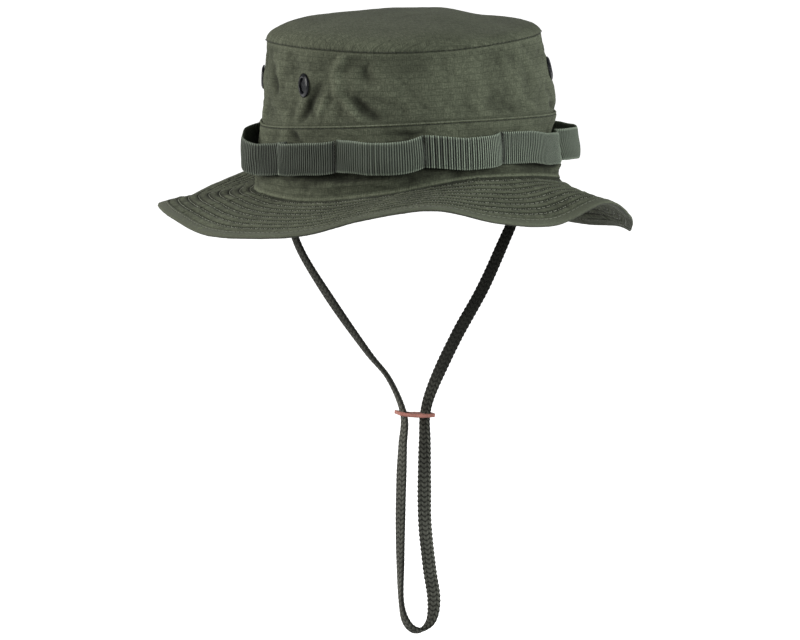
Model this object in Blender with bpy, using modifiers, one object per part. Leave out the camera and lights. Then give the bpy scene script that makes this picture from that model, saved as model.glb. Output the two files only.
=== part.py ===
"""A boonie hat: a soft crown, a wavy quilted brim, a band of branch loops, four vents and a chin strap.

Metres, +Z up. The hat faces -Y, and +X is the wearer's left. Azimuths are in degrees from the front (-Y)
towards +X, and the origin is the centre of the head opening, where the crown meets the brim.
"""

import math

import bmesh
import bpy
from mathutils import Matrix, Vector

MM = 0.001

# Driving dimensions, in metres.
BASE_RADIUS = 0.092  # the crown at the brim, for a head of about 58 cm
BAND_RADIUS = 0.089  # the crown at the folded edge of its lower band
TOP_RADIUS = 0.0845  # the crown at its top seam
BAND_HEIGHT = 0.044
TOP_HEIGHT = 0.0905
BRIM_WIDTH = 0.058
GAP = 0.0003  # left between neighbouring pieces

CLOTH = 0.0010  # one ply of crown fabric with its seam allowance
BRIM_PLY = 0.0007
INTERLINING_PLY = 0.0008
BINDING_PLY = 0.0007
BINDING_WIDTH = 0.005
BRIM_ROWS = 8
BINDING_GAP = 0.0005
WEBBING_HEIGHT = 0.0187
WEBBING_PLY = 0.0013

STRAP_WIDTH = 0.009
SLIDER_SIZE = Vector((0.0262, 0.0138, 0.0030))
SLIDER_TILT = 9.4  # degrees, down towards +X

EYELET_HEIGHT = 0.0688
EYELET_AZIMUTHS = (-113, -65, 65, 113)
EYELET_FLANGE_RADIUS = 0.0074
EYELET_BARREL_RADIUS = 0.0050
EYELET_BORE_RADIUS = 0.0042

# Heights in millimetres at even steps of azimuth, from the front round to the front again.
JUNCTION_MM = (11.5, 9.3, 3.0, -1.6, 0.0, 0.5, 1.0, 1.0, 1.3, 1.4, 0.5, 5.0)
BAND_SEAM_MM = (47.2, 45.6, 42.8, 42.0, 42.5, 43.0, 43.5, 43.5, 43.0, 42.8, 45.0, 46.6)
TOP_SEAM_MM = (88.6, 90.4, 91.0, 91.3, 91.0, 90.6, 90.5, 90.6, 91.2, 92.2, 91.0, 88.8)
WEBBING_MM = (29.8, 27.6, 22.8, 22.5, 24.0, 25.0, 26.0, 27.0, 30.0, 24.5, 27.0, 30.0)
BRIM_EDGE_MM = (
    -6.1, -10.7, -2.0, -15.2, -27.9, -32.7, -34.0, -36.1, -33.3, -26.0, -15.0, -7.0,
    -2.0, 1.4, -4.4, -9.6, -7.0, -4.4, -6.8, -12.8, -12.4, -9.2, 0.4, 4.2,
)  # fmt: skip
BRIM_ROLL = (4.2, 2.9, 36.5, 19.5, 17.1, 10, 4, 0, 1.3, 1.7, 0, 0)
# The brim's dip between crown and edge: its depth (mm), azimuth, spread (degrees) and nearness to the crown.
BRIM_DIP = (7.5, 62.7, 28.4, 0.7)

# Each loop of the band: first and last tack (azimuths), how far it stands out (mm), where it peaks, and how
# far it hangs there (mm).
BRANCH_LOOPS = (
    (-72, -48, 3.0, 0.5, 0.8),
    (-48, -14, 6.0, 0.62, 3.0),
    (-14, 17, 4.5, 0.6, 2.0),
    (17, 63, 5.0, 0.7, 1.6),
    (63, 97, 14.0, 0.4, 0.4),
    (97, 131, 6.0, 0.5, 1.5),
    (131, 165, 6.0, 0.5, 1.5),
    (165, 199, 6.0, 0.5, 1.5),
    (199, 235, 6.0, 0.5, 1.5),
    (235, 288, 8.5, 0.45, 1.5),
)

# The strap's own route from its +X anchor to its -X anchor: x and z in millimetres, in the plane y = 0.
STRAP_ROUTE_MM = (
    (82, 1), (74, -18), (63.2, -38.8), (47.9, -67.3), (29.4, -95.5), (13.5, -123.9), (7.2, -141.0),
    (6.2, -158), (5.0, -184), (4.4, -210), (6.4, -238), (8.6, -258), (6.0, -271.5), (-2.2, -276.5),
    (-9.6, -271), (-12.9, -257), (-12.6, -232), (-11.6, -206), (-10.0, -180), (-8.4, -160),
    (-7.0, -141.0), (-15.6, -118.5), (-29.2, -100.3), (-50.1, -69.0), (-68.3, -38.2), (-76, -18),
    (-82, 1),
)  # fmt: skip
STRAP_POINTS = 78

DOME_SLUMP = 0.34
DOME = ((84.5, 0.5), (82.5, 5.0), (77.0, 8.6), (64.0, 11.6), (44.0, 14.0), (22.0, 15.2), (0.0, 15.5))


def around(values, azimuth):
    """The smooth value at an azimuth of a ring of evenly spaced values."""
    place = (azimuth % 360) * len(values) / 360
    first = int(place)
    t = place - first
    a, b, c, d = (values[(first + k) % len(values)] for k in (-1, 0, 1, 2))
    return 0.5 * (2 * b + (c - a) * t + (2 * a - 5 * b + 4 * c - d) * t**2 + (3 * b - a - 3 * c + d) * t**3)


def polar(azimuth, radius, height):
    turn = math.radians(azimuth)
    return Vector((radius * math.sin(turn), -radius * math.cos(turn), height))


def crown_radius(height):
    """The outer radius of the crown's wall, which leans in from the brim to the top seam."""
    if height < BAND_HEIGHT:
        return BASE_RADIUS + (BAND_RADIUS - BASE_RADIUS) * height / BAND_HEIGHT
    share = (height - BAND_HEIGHT) / (TOP_HEIGHT - BAND_HEIGHT)
    return BAND_RADIUS + (TOP_RADIUS - BAND_RADIUS) * share


def brim_point(azimuth, share, lift=0.0):
    """A point on the brim's upper face, share of the way to its edge, raised along the face's normal."""
    root = around(JUNCTION_MM, azimuth) * MM
    edge = around(BRIM_EDGE_MM, azimuth) * MM
    roll = math.radians(around(BRIM_ROLL, azimuth) + 0.5)
    fall = math.asin((root - edge) * roll / (BRIM_WIDTH * math.sin(roll)))
    first = fall - roll
    slope = first + 2 * roll * share
    out = BRIM_WIDTH * (math.sin(slope) - math.sin(first)) / (2 * roll)
    down = BRIM_WIDTH * (math.cos(first) - math.cos(slope)) / (2 * roll)
    deep, middle, spread, nearness = BRIM_DIP
    away = ((azimuth - middle + 180) % 360 - 180) / spread
    dip = deep * MM * math.exp(-(away**2)) * math.sin(math.pi * min(1.0, max(0.0, share)) ** nearness)
    start = BASE_RADIUS + 0.0008
    return polar(azimuth, start + out + lift * math.sin(slope), root - down - dip + lift * math.cos(slope))


def material(name, colour, roughness, metallic=0.0):
    made = bpy.data.materials.new(name)
    made.use_nodes = True
    shader = made.node_tree.nodes["Principled BSDF"]
    shader.inputs["Base Color"].default_value = (*colour, 1)
    shader.inputs["Roughness"].default_value = roughness
    shader.inputs["Metallic"].default_value = metallic
    return made


def add_object(name, mesh, look, group):
    made = bpy.data.objects.new(name, mesh)
    if look:
        mesh.materials.append(look)
    group.objects.link(made)
    return made


def sheet(name, look, group, columns, rows, place, thickness):
    """A grid bent by place(u, v) and thickened on its back, with edges that meet joined."""
    grid = bmesh.new()
    bmesh.ops.create_grid(grid, x_segments=columns, y_segments=rows, size=0.5)
    for vertex in grid.verts:
        vertex.co = place(vertex.co.x + 0.5, vertex.co.y + 0.5)
    bmesh.ops.remove_doubles(grid, verts=grid.verts, dist=1e-6)
    mesh = bpy.data.meshes.new(name)
    grid.to_mesh(mesh)
    grid.free()
    mesh.shade_smooth()
    made = add_object(name, mesh, look, group)
    if thickness:
        wall = made.modifiers.new("thickness", "SOLIDIFY")
        wall.thickness = thickness
        wall.offset = -1
        wall.use_even_offset = True
    return made


def wall_sheet(name, look, group, span, low, high, outset, thickness, columns=48, rows=3):
    """A piece of wall that follows the crown, between two heights that may change with azimuth."""

    def place(u, v):
        azimuth = span[0] + (span[1] - span[0]) * u
        height = low(azimuth) + (high(azimuth) - low(azimuth)) * v
        return polar(azimuth, crown_radius(height) + outset, height)

    return sheet(name, look, group, columns, rows, place, thickness)


def junction(azimuth):
    return around(JUNCTION_MM, azimuth) * MM


def band_seam(azimuth):
    return around(BAND_SEAM_MM, azimuth) * MM


def top_seam(azimuth):
    return around(TOP_SEAM_MM, azimuth) * MM


def slumped(leftward):
    """The dome sits lower towards the hat's left front: 0 to 1 with the distance that way, in millimetres."""
    share = min(max((leftward - 20) / 34, 0), 1)
    return share * share * (3 - 2 * share)


def build_crown(fabric, lining, label, group):
    full = (0, 360)
    side = wall_sheet(
        "crown_side", fabric, group, full,
        lambda a: band_seam(a) + GAP / 2, lambda a: top_seam(a) - GAP, 0, CLOTH,
    )  # fmt: skip
    wall_sheet(
        "crown_lower_band", fabric, group, full,
        lambda a: junction(a) + GAP, lambda a: band_seam(a) - GAP / 2, 0.0003, CLOTH,
    )  # fmt: skip
    wall_sheet(
        "crown_seam_tape", lining, group, full,
        lambda a: top_seam(a) - 0.012, lambda a: top_seam(a) - 0.003, -CLOTH - 0.0004, 0.0006, rows=1,
    )  # fmt: skip
    wall_sheet(
        "sweatband", lining, group, full,
        lambda a: junction(a) - 0.0005, lambda a: junction(a) + 0.030, -CLOTH - 0.0002, 0.0009, rows=2,
    )  # fmt: skip
    wall_sheet(
        "size_label", label, group, (170, 190),
        lambda a: 0.008, lambda a: 0.024, -CLOTH - 0.0016, 0.0005, columns=6, rows=1,
    )  # fmt: skip

    def dome_point(u, v):
        azimuth = 360 * u
        place = v * (len(DOME) - 1)
        first = min(int(place), len(DOME) - 2)
        radius, rise = (a + (b - a) * (place - first) for a, b in zip(DOME[first], DOME[first + 1]))
        rise *= 1 - DOME_SLUMP * slumped(radius * math.cos(math.radians(azimuth - 69)))
        rim_share = radius * MM / TOP_RADIUS
        level = TOP_HEIGHT + (top_seam(azimuth) - TOP_HEIGHT) * rim_share
        return polar(azimuth, radius * MM, level + rise * MM)

    sheet("crown_top", fabric, group, 48, len(DOME) - 1, dome_point, CLOTH)
    return side


def build_brim(fabric, lining, binding, group):
    halves = {"front": (-90.15, 90.15), "rear": (90.35, 269.65)}
    for half, (start, end) in halves.items():
        for layer, drop in (("upper", 0.0), ("under", BRIM_PLY + INTERLINING_PLY + 2 * GAP)):

            def ply_point(u, v):
                return brim_point(start + (end - start) * u, 1 - v, -drop)

            sheet(f"{layer}_brim_{half}", fabric, group, 60, BRIM_ROWS, ply_point, BRIM_PLY)

    def interlining_point(u, v):
        return brim_point(360 * u, 0.985 * (1 - v), -BRIM_PLY - GAP)

    sheet("brim_interlining", lining, group, 120, BRIM_ROWS, interlining_point, INTERLINING_PLY)

    above = BINDING_GAP
    below = -2 * BRIM_PLY - INTERLINING_PLY - 2 * GAP - BINDING_GAP
    outer = BINDING_PLY
    section = (
        (-BINDING_WIDTH, above), (-BINDING_WIDTH / 2, above), (GAP, above),
        (GAP, below), (-BINDING_WIDTH / 2, below), (-BINDING_WIDTH, below),
        (-BINDING_WIDTH, below - outer), (-BINDING_WIDTH / 2, below - outer), (GAP + outer * 0.4, below - outer),
        (GAP + outer, below + 0.0004), (GAP + outer, above - 0.0004), (GAP + outer * 0.4, above + outer),
        (-BINDING_WIDTH / 2, above + outer), (-BINDING_WIDTH, above + outer),
    )  # fmt: skip

    def binding_point(u, v):
        out, lift = section[round(v * len(section)) % len(section)]
        return brim_point(360 * u, 1 + out / BRIM_WIDTH, lift)

    sheet("brim_edge_binding", binding, group, 120, len(section), binding_point, 0)


def build_branch_loops(webbing, group):
    for index, (start, end, stand_mm, peak, drop_mm) in enumerate(BRANCH_LOOPS):
        power = math.log(0.5) / math.log(peak)
        low_share, high_share = 0.1 / (end - start), 1 - 0.1 / (end - start)

        def place(u, v):
            share = low_share + (high_share - low_share) * u
            azimuth = start + (end - start) * share
            swell = math.sin(math.pi * share**power) ** 0.8
            middle = around(WEBBING_MM, azimuth) * MM
            height = middle - drop_mm * MM * swell + WEBBING_HEIGHT * (v - 0.5)
            radius = crown_radius(middle) + 0.0006 + 2 * GAP + WEBBING_PLY + stand_mm * MM * swell
            return polar(azimuth, radius, height)

        columns = 20 if end - start > 40 or stand_mm > 10 else 14
        sheet(f"branch_loop_{index + 1:02d}", webbing, group, columns, 1, place, WEBBING_PLY)


def turned(name, look, group, profile, place):
    """A piece turned from a closed profile of (radius, height) points, up its outer side."""
    mesh = bpy.data.meshes.new(name)
    points = [(radius, 0, height) for radius, height in reversed(profile)]
    mesh.from_pydata(points, [(i, (i + 1) % len(points)) for i in range(len(points))], [])
    made = add_object(name, mesh, look, group)
    made.matrix_world = place
    screw = made.modifiers.new("turn", "SCREW")
    screw.steps = screw.render_steps = 20
    screw.merge_threshold = 0.00001
    return made


def outward_frame(azimuth, height, radius):
    """A matrix whose +Z runs square out of the leaning crown at this place."""
    lean = math.atan2(BAND_RADIUS - TOP_RADIUS, TOP_HEIGHT - BAND_HEIGHT)
    out = polar(azimuth, math.cos(lean), math.sin(lean))
    across = Vector((0, 0, 1)).cross(out).normalized()
    turn = Matrix((across, out.cross(across), out)).transposed().to_4x4()
    return Matrix.Translation(polar(azimuth, radius, height)) @ turn


def build_eyelets(metal, mesh_look, side, group, cutters):
    radius = crown_radius(EYELET_HEIGHT)
    for index, azimuth in enumerate(EYELET_AZIMUTHS):
        place = outward_frame(azimuth, EYELET_HEIGHT, radius)
        name = f"eyelet_{index + 1}"
        flange_low = 0.0004
        barrel_end = -0.0030
        flange = (
            (EYELET_BORE_RADIUS, barrel_end), (EYELET_BARREL_RADIUS, barrel_end),
            (EYELET_BARREL_RADIUS, flange_low), (EYELET_FLANGE_RADIUS, flange_low),
            (EYELET_FLANGE_RADIUS - 0.0004, flange_low + 0.0007), (EYELET_BARREL_RADIUS, flange_low + 0.0013),
            (EYELET_BORE_RADIUS, flange_low + 0.0006),
        )  # fmt: skip
        turned(f"{name}_flange", metal, group, flange, place)
        washer = (
            (EYELET_BARREL_RADIUS + GAP, -0.0026), (EYELET_FLANGE_RADIUS - 0.0008, -0.0026),
            (EYELET_FLANGE_RADIUS - 0.0008, -0.0019), (EYELET_BARREL_RADIUS + GAP, -0.0019),
        )  # fmt: skip
        turned(f"{name}_washer", metal, group, washer, place)
        screen = bmesh.new()
        bmesh.ops.create_cone(
            screen, cap_ends=True, segments=20, radius1=EYELET_BORE_RADIUS - GAP,
            radius2=EYELET_BORE_RADIUS - GAP, depth=0.0006, matrix=Matrix.Translation((0, 0, -0.0010)),
        )  # fmt: skip
        mesh = bpy.data.meshes.new(f"{name}_screen")
        screen.to_mesh(mesh)
        screen.free()
        add_object(f"{name}_screen", mesh, mesh_look, group).matrix_world = place

        cutter = bmesh.new()
        bmesh.ops.create_cone(
            cutter, cap_ends=True, segments=20, radius1=EYELET_BARREL_RADIUS + GAP,
            radius2=EYELET_BARREL_RADIUS + GAP, depth=0.02,
        )  # fmt: skip
        mesh = bpy.data.meshes.new(f"{name}_hole")
        cutter.to_mesh(mesh)
        cutter.free()
        hole = add_object(f"{name}_hole", mesh, None, cutters)
        hole.matrix_world = place
        hide_cutter(hole)
        cut = side.modifiers.new(f"{name}_hole", "BOOLEAN")
        cut.operation = "DIFFERENCE"
        cut.object = hole


def hide_cutter(cutter):
    cutter.hide_render = True
    cutter.display_type = "WIRE"


def smooth_route(points, count):
    """Evenly shared points on a smooth curve through the route's own points."""
    ends = [2 * points[0] - points[1], *points, 2 * points[-1] - points[-2]]
    fine = []
    for a, b, c, d in zip(ends, ends[1:], ends[2:], ends[3:]):
        for step in range(12):
            t = step / 12
            square = (2 * a - 5 * b + 4 * c - d) * t**2
            cube = (3 * b - a - 3 * c + d) * t**3
            fine.append(0.5 * (2 * b + (c - a) * t + square + cube))
    fine.append(points[-1])
    lengths = [0.0]
    for a, b in zip(fine, fine[1:]):
        lengths.append(lengths[-1] + (b - a).length)
    spaced = []
    at = 0
    for index in range(count):
        goal = lengths[-1] * index / (count - 1)
        while at < len(lengths) - 2 and lengths[at + 1] < goal:
            at += 1
        share = (goal - lengths[at]) / (lengths[at + 1] - lengths[at])
        spaced.append(fine[at].lerp(fine[at + 1], share))
    return spaced


def build_chin_strap(braid, leather, lining, group, cutters):
    route = [Vector((x, 0, z)) * MM for x, z in STRAP_ROUTE_MM]
    points = smooth_route(route, STRAP_POINTS)
    curve = bpy.data.curves.new("chin_strap", "CURVE")
    curve.dimensions = "3D"
    curve.bevel_depth = STRAP_WIDTH / 2
    curve.bevel_resolution = 2
    curve.use_fill_caps = True
    spline = curve.splines.new("POLY")
    spline.points.add(len(points) - 1)
    for knot, point in zip(spline.points, points):
        knot.co = (*point, 1)
    curve.materials.append(braid)
    group.objects.link(bpy.data.objects.new("chin_strap", curve))

    for name, azimuth in (("strap_anchor_left", 90), ("strap_anchor_right", 270)):
        half = 4.5
        wall_sheet(
            name, lining, group, (azimuth - half, azimuth + half),
            lambda a: 0.002, lambda a: 0.014, -CLOTH - 0.0016, 0.0012, columns=4, rows=1,
        )  # fmt: skip

    grip = bmesh.new()
    bmesh.ops.create_cube(grip, size=1, matrix=Matrix.Diagonal((*SLIDER_SIZE, 1)))
    mesh = bpy.data.meshes.new("strap_slider")
    grip.to_mesh(mesh)
    grip.free()
    slider = add_object("strap_slider", mesh, leather, group)
    slider.matrix_world = Matrix.Translation((0.0002, 0, -0.1415)) @ Matrix.Rotation(
        math.radians(SLIDER_TILT), 4, "Y"
    )
    rounding = slider.modifiers.new("rounding", "BEVEL")
    rounding.width = 0.0006
    rounding.segments = 1
    for name, x in (("left", 0.0072), ("right", -0.0072)):
        cutter = bmesh.new()
        bmesh.ops.create_cone(
            cutter, cap_ends=True, segments=20, radius1=STRAP_WIDTH / 2 + 0.0007,
            radius2=STRAP_WIDTH / 2 + 0.0007, depth=0.02, matrix=Matrix.Translation((x, 0, -0.1415)),
        )  # fmt: skip
        mesh = bpy.data.meshes.new(f"slider_slot_{name}")
        cutter.to_mesh(mesh)
        cutter.free()
        slot = add_object(f"slider_slot_{name}", mesh, None, cutters)
        hide_cutter(slot)
        cut = slider.modifiers.new(f"slot_{name}", "BOOLEAN")
        cut.operation = "DIFFERENCE"
        cut.object = slot


def main():
    for old in list(bpy.data.objects):
        bpy.data.objects.remove(old)
    group = bpy.data.collections.new("boonie_hat")
    cutters = bpy.data.collections.new("cutters")
    bpy.context.scene.collection.children.link(group)
    bpy.context.scene.collection.children.link(cutters)
    cutters.hide_render = True

    fabric = material("ripstop_fabric", (0.085, 0.088, 0.065), 0.85)
    webbing = material("branch_webbing", (0.095, 0.110, 0.085), 0.75)
    binding = material("edge_binding", (0.070, 0.074, 0.056), 0.85)
    lining = material("lining_tape", (0.075, 0.080, 0.060), 0.9)
    label = material("size_label", (0.55, 0.56, 0.50), 0.8)
    metal = material("vent_metal", (0.012, 0.014, 0.016), 0.3, 0.6)
    mesh_look = material("vent_screen", (0.02, 0.022, 0.024), 0.45, 0.5)
    braid = material("strap_braid", (0.035, 0.038, 0.028), 0.9)
    leather = material("slider_leather", (0.32, 0.13, 0.09), 0.6)

    side = build_crown(fabric, lining, label, group)
    build_brim(fabric, lining, binding, group)
    build_branch_loops(webbing, group)
    build_eyelets(metal, mesh_look, side, group, cutters)
    build_chin_strap(braid, leather, lining, group, cutters)


main()
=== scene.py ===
"""The looks of the boonie hat: wrinkled ripstop crown, quilted brim, ribbed loops, vents and braided strap.

Metres, in the CAD's frame. The hat faces -Y, and +X is the wearer's left. Azimuths are in degrees from the
front (-Y) towards +X, and the origin is the centre of the head opening. Names that end in _MM are in
millimetres. A "ring" is the closed section of a piece at one place along it, as a row of points. A "look" is a
material.
"""

import math

import bpy
import numpy as np
from mathutils import Matrix, Vector


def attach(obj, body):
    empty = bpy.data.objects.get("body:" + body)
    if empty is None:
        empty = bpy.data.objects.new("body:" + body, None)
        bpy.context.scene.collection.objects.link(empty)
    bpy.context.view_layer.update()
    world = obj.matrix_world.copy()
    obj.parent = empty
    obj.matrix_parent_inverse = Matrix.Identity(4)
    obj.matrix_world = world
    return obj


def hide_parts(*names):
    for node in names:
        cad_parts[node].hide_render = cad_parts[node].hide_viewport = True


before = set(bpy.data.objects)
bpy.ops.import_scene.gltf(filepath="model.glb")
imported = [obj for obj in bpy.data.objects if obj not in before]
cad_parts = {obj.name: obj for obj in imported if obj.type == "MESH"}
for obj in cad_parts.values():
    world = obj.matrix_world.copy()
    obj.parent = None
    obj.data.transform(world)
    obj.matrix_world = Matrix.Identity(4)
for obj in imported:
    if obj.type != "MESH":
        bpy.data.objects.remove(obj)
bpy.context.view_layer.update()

MM = 0.001
TAU = 2 * math.pi

# The CAD's dimensions. The keeper is smaller here than in the CAD, where its slots pass a round cord.
BASE_RADIUS = 0.092
BAND_RADIUS = 0.089
TOP_RADIUS = 0.0845
BAND_HEIGHT = 0.044
TOP_HEIGHT = 0.0905
BRIM_WIDTH = 0.058
BRIM_STACK = 0.0028
CLOTH = 0.0010
WEBBING_HEIGHT = 0.0187
WEBBING_PLY = 0.0013
STRAP_WIDTH = 0.009
STRAP_THICKNESS = 0.0036
SLIDER_CENTRE = (0.0002, 0.0, -0.1415)
SLIDER_SIZE = (0.0236, 0.0118, 0.0030)
SLIDER_TILT = 7.4
EYELET_HEIGHT = 0.0688
EYELET_AZIMUTHS = (-113, -65, 65, 113)
SAG_AZIMUTH = 69  # the side towards which the soft crown sags
EYELET_TURNS = (0, 23, 0, 0)  # how far the sagging cloth turns each one towards -X, in degrees

# Heights round the hat at even steps of azimuth from the front, as in the CAD.
JUNCTION_MM = (11.5, 9.3, 3.0, -1.6, 0.0, 0.5, 1.0, 1.0, 1.3, 1.4, 0.5, 5.0)
BAND_SEAM_MM = (47.2, 45.6, 42.8, 42.0, 42.5, 43.0, 43.5, 43.5, 43.0, 42.8, 45.0, 46.6)
TOP_SEAM_MM = (88.6, 90.4, 91.0, 91.3, 91.0, 90.6, 90.5, 90.6, 91.2, 92.2, 91.0, 88.8)
WEBBING_MM = (29.8, 27.6, 22.8, 22.5, 24.0, 25.0, 26.0, 27.0, 30.0, 24.5, 27.0, 30.0)
BRIM_EDGE_MM = (
    -6.1, -10.7, -2.0, -15.2, -27.9, -32.7, -34.0, -36.1, -33.3, -26.0, -15.0, -7.0,
    -2.0, 1.4, -4.4, -9.6, -7.0, -4.4, -6.8, -12.8, -12.4, -9.2, 0.4, 4.2,
)  # fmt: skip
BRIM_ROLL = (4.2, 2.9, 36.5, 19.5, 17.1, 10, 4, 0, 1.3, 1.7, 0, 0)
# The brim's dip between crown and edge: its depth (mm), azimuth, spread (degrees) and nearness to the crown.
BRIM_DIP = (7.5, 62.7, 28.4, 0.7)

# Each loop of the band: first and last tack (azimuths), how far it stands out (mm), where it peaks, and how
# far it hangs there (mm).
BRANCH_LOOPS = (
    (-72, -48, 3.0, 0.5, 0.8),
    (-48, -14, 6.0, 0.62, 3.0),
    (-14, 17, 4.5, 0.6, 2.0),
    (17, 63, 5.0, 0.7, 1.6),
    (63, 97, 14.0, 0.4, 0.4),
    (97, 131, 6.0, 0.5, 1.5),
    (131, 165, 6.0, 0.5, 1.5),
    (165, 199, 6.0, 0.5, 1.5),
    (199, 235, 6.0, 0.5, 1.5),
    (235, 288, 8.5, 0.45, 1.5),
)

# The strap's route from its +X anchor to its -X anchor: x and z in the plane y = 0, as in the CAD, and how
# far its broad face is turned there, in degrees: 90 lies flat against the hat's side, 0 faces the front.
STRAP_ROUTE_MM = (
    (82, 1, 90), (74, -18, 106), (63.2, -38.8, 120), (47.9, -67.3, 130), (29.4, -95.5, 134),
    (13.5, -123.9, 124), (7.2, -141.0, 112), (6.2, -158, 126), (5.0, -184, 152), (4.4, -210, 162),
    (6.4, -238, 160), (8.6, -258, 146), (6.0, -271.5, 104), (-2.2, -276.5, 66), (-9.6, -271, 74),
    (-12.9, -257, 100), (-12.6, -232, 84),
    (-11.6, -206, 72), (-10.0, -180, 70), (-8.4, -160, 80), (-7.0, -141.0, 90), (-15.6, -118.5, 96),
    (-29.2, -100.3, 86), (-50.1, -69.0, 74), (-68.3, -38.2, 82), (-76, -18, 88), (-82, 1, 90),
)  # fmt: skip

# ---- Shapes round the hat


def around(values, azimuth):
    """The smooth value at azimuths of a ring of evenly spaced values."""
    values = np.asarray(values, float)
    place = (np.asarray(azimuth, float) % 360) * len(values) / 360
    first = np.floor(place).astype(int)
    t = place - first
    a, b, c, d = (values[(first + k) % len(values)] for k in (-1, 0, 1, 2))
    return 0.5 * (2 * b + (c - a) * t + (2 * a - 5 * b + 4 * c - d) * t**2 + (3 * b - a - 3 * c + d) * t**3)


def polar(azimuth, radius, height):
    turn = np.radians(azimuth)
    return np.stack(np.broadcast_arrays(radius * np.sin(turn), -radius * np.cos(turn), height), -1)


def crown_radius(height):
    low = BASE_RADIUS + (BAND_RADIUS - BASE_RADIUS) * height / BAND_HEIGHT
    high = BAND_RADIUS + (TOP_RADIUS - BAND_RADIUS) * (height - BAND_HEIGHT) / (TOP_HEIGHT - BAND_HEIGHT)
    return np.where(height < BAND_HEIGHT, low, high)


def junction(azimuth):
    return around(JUNCTION_MM, azimuth) * MM


def band_seam(azimuth):
    return around(BAND_SEAM_MM, azimuth) * MM


def top_seam(azimuth):
    return around(TOP_SEAM_MM, azimuth) * MM


def brim_point(azimuth, share, lift):
    """A point on the brim's upper face, share of the way to its edge, lifted along the face's normal."""
    root = junction(azimuth)
    edge = around(BRIM_EDGE_MM, azimuth) * MM
    roll = np.radians(around(BRIM_ROLL, azimuth) + 0.5)
    fall = np.arcsin((root - edge) * roll / (BRIM_WIDTH * np.sin(roll)))
    first = fall - roll
    slope = first + 2 * roll * share
    out = BRIM_WIDTH * (np.sin(slope) - np.sin(first)) / (2 * roll)
    down = BRIM_WIDTH * (np.cos(first) - np.cos(slope)) / (2 * roll)
    deep, middle, spread, nearness = BRIM_DIP
    dip = deep * MM * bell(turn_between(azimuth, middle), spread)
    dip = dip * np.sin(math.pi * np.clip(share, 0, 1) ** nearness)
    radius = BASE_RADIUS + 0.0008 + out + lift * np.sin(slope)
    return polar(azimuth, radius, root - down - dip + lift * np.cos(slope))


def noise(u, v, columns, seed):
    """Smooth noise, about -1 to 1. It joins up each time u grows by columns."""
    turns = np.random.default_rng(seed).uniform(0, TAU, (columns, 64))
    left, low = np.floor(u).astype(int), np.floor(v).astype(int)
    x, y = u - left, v - low

    def corner(i, j):
        turn = turns[(left + i) % columns, (low + j) % 64]
        return np.cos(turn) * (x - i) + np.sin(turn) * (y - j)

    ease_x, ease_y = (t * t * t * (t * (6 * t - 15) + 10) for t in (x, y))
    bottom = corner(0, 0) + (corner(1, 0) - corner(0, 0)) * ease_x
    top = corner(0, 1) + (corner(1, 1) - corner(0, 1)) * ease_x
    return 1.4 * (bottom + (top - bottom) * ease_y)


def bell(distance, width):
    return np.exp(-((distance / width) ** 2))


def squared_off(wave, power):
    """The wave, with its crests broader the smaller the power."""
    return np.sign(wave) * np.abs(wave) ** power


def ease(t):
    t = np.clip(t, 0, 1)
    return t * t * (3 - 2 * t)


def turn_between(azimuth, other):
    """The signed difference of two azimuths, the short way round."""
    return (np.asarray(azimuth, float) - other + 180) % 360 - 180


# Folds of the crown's wall: from and to (azimuth, height in mm), half width and rise, both in mm.
CROWN_FOLDS = (
    (-56, 68, -66, 47, 3.0, -1.5),
    (-52, 67, -57, 48, 2.6, 0.9),
    (-61, 70, -70, 52, 3.0, 0.6),
    (-43, 64, -31, 48, 3.4, -1.4),
    (-46, 60, -38, 48, 2.8, 0.8),
    (-44, 89, -49, 79, 3.5, 0.9),
    (-49, 79, -48, 62, 4.0, 1.0),
    (-38, 84, -34, 70, 5.0, -0.6),
    (2, 56, 10, 47, 3.0, -0.6),
    (20, 54, 27, 47, 2.6, -0.7),
    (30, 58, 38, 47, 3.2, 0.5),
    (52, 50, 70, 43, 2.6, -1.0),
    (-70, 17, -40, 15, 3.2, -1.3),
    (-58, 21, -30, 20, 2.6, 0.7),
    (-34, 19, 4, 23, 3.0, -0.9),
    (-50, 11, -22, 13, 2.6, 0.7),
    (10, 20, 44, 16, 2.4, -0.8),
    (44, 13, 80, 15, 2.4, -1.5),
    (50, 9, 82, 10, 2.2, 1.0),
    (-72, 42, -64, 33, 3.0, -0.8),
    (-30, 41, -12, 40, 2.2, -0.6),
    (118, 58, 150, 52, 4.0, -0.9),
    (140, 76, 176, 66, 5.0, -0.8),
    (-130, 62, -158, 54, 4.0, -0.9),
    (-150, 80, -176, 72, 5.0, 0.7),
    (88, 82, 82, 58, 5.0, -0.7),
    (-92, 84, -84, 60, 5.0, -0.7),
)


def vent_distance(azimuth, height, vent):
    """How far a place on the wall is from a vent's centre, across and up, in millimetres."""
    across = np.radians(turn_between(azimuth, vent)) * BAND_RADIUS / MM
    return across, height / MM - EYELET_HEIGHT / MM


def rim_tuck(azimuth):
    """How far the top seam is drawn in on one side, in millimetres."""
    return 2.6 * bell(turn_between(azimuth, -111), 42)


def crown_lean(azimuth, height):
    """How far the soft crown as a whole sags out of its plain shape, in millimetres."""
    h = height / MM
    lean = 3.0 * np.cos(np.radians(azimuth - SAG_AZIMUTH)) * bell(h - 55, 26) * ease((92 - h) / 18)
    lean -= 1.2 * bell(turn_between(azimuth, -22), 24) * bell(h - 67, 18)
    lean -= rim_tuck(azimuth) * ease((h - 66) / 23)
    lean += 1.8 * bell(turn_between(azimuth, 70), 22) * bell(h - 10, 8)
    lean -= 3.2 * bell(turn_between(azimuth, 62), 18) * bell(h - 27, 9)
    for vent, turn in zip(EYELET_AZIMUTHS, EYELET_TURNS):
        across, up = vent_distance(azimuth, height, vent)
        lean += math.tan(math.radians(turn)) * across * bell(np.hypot(across, up), 13)
    return lean


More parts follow.
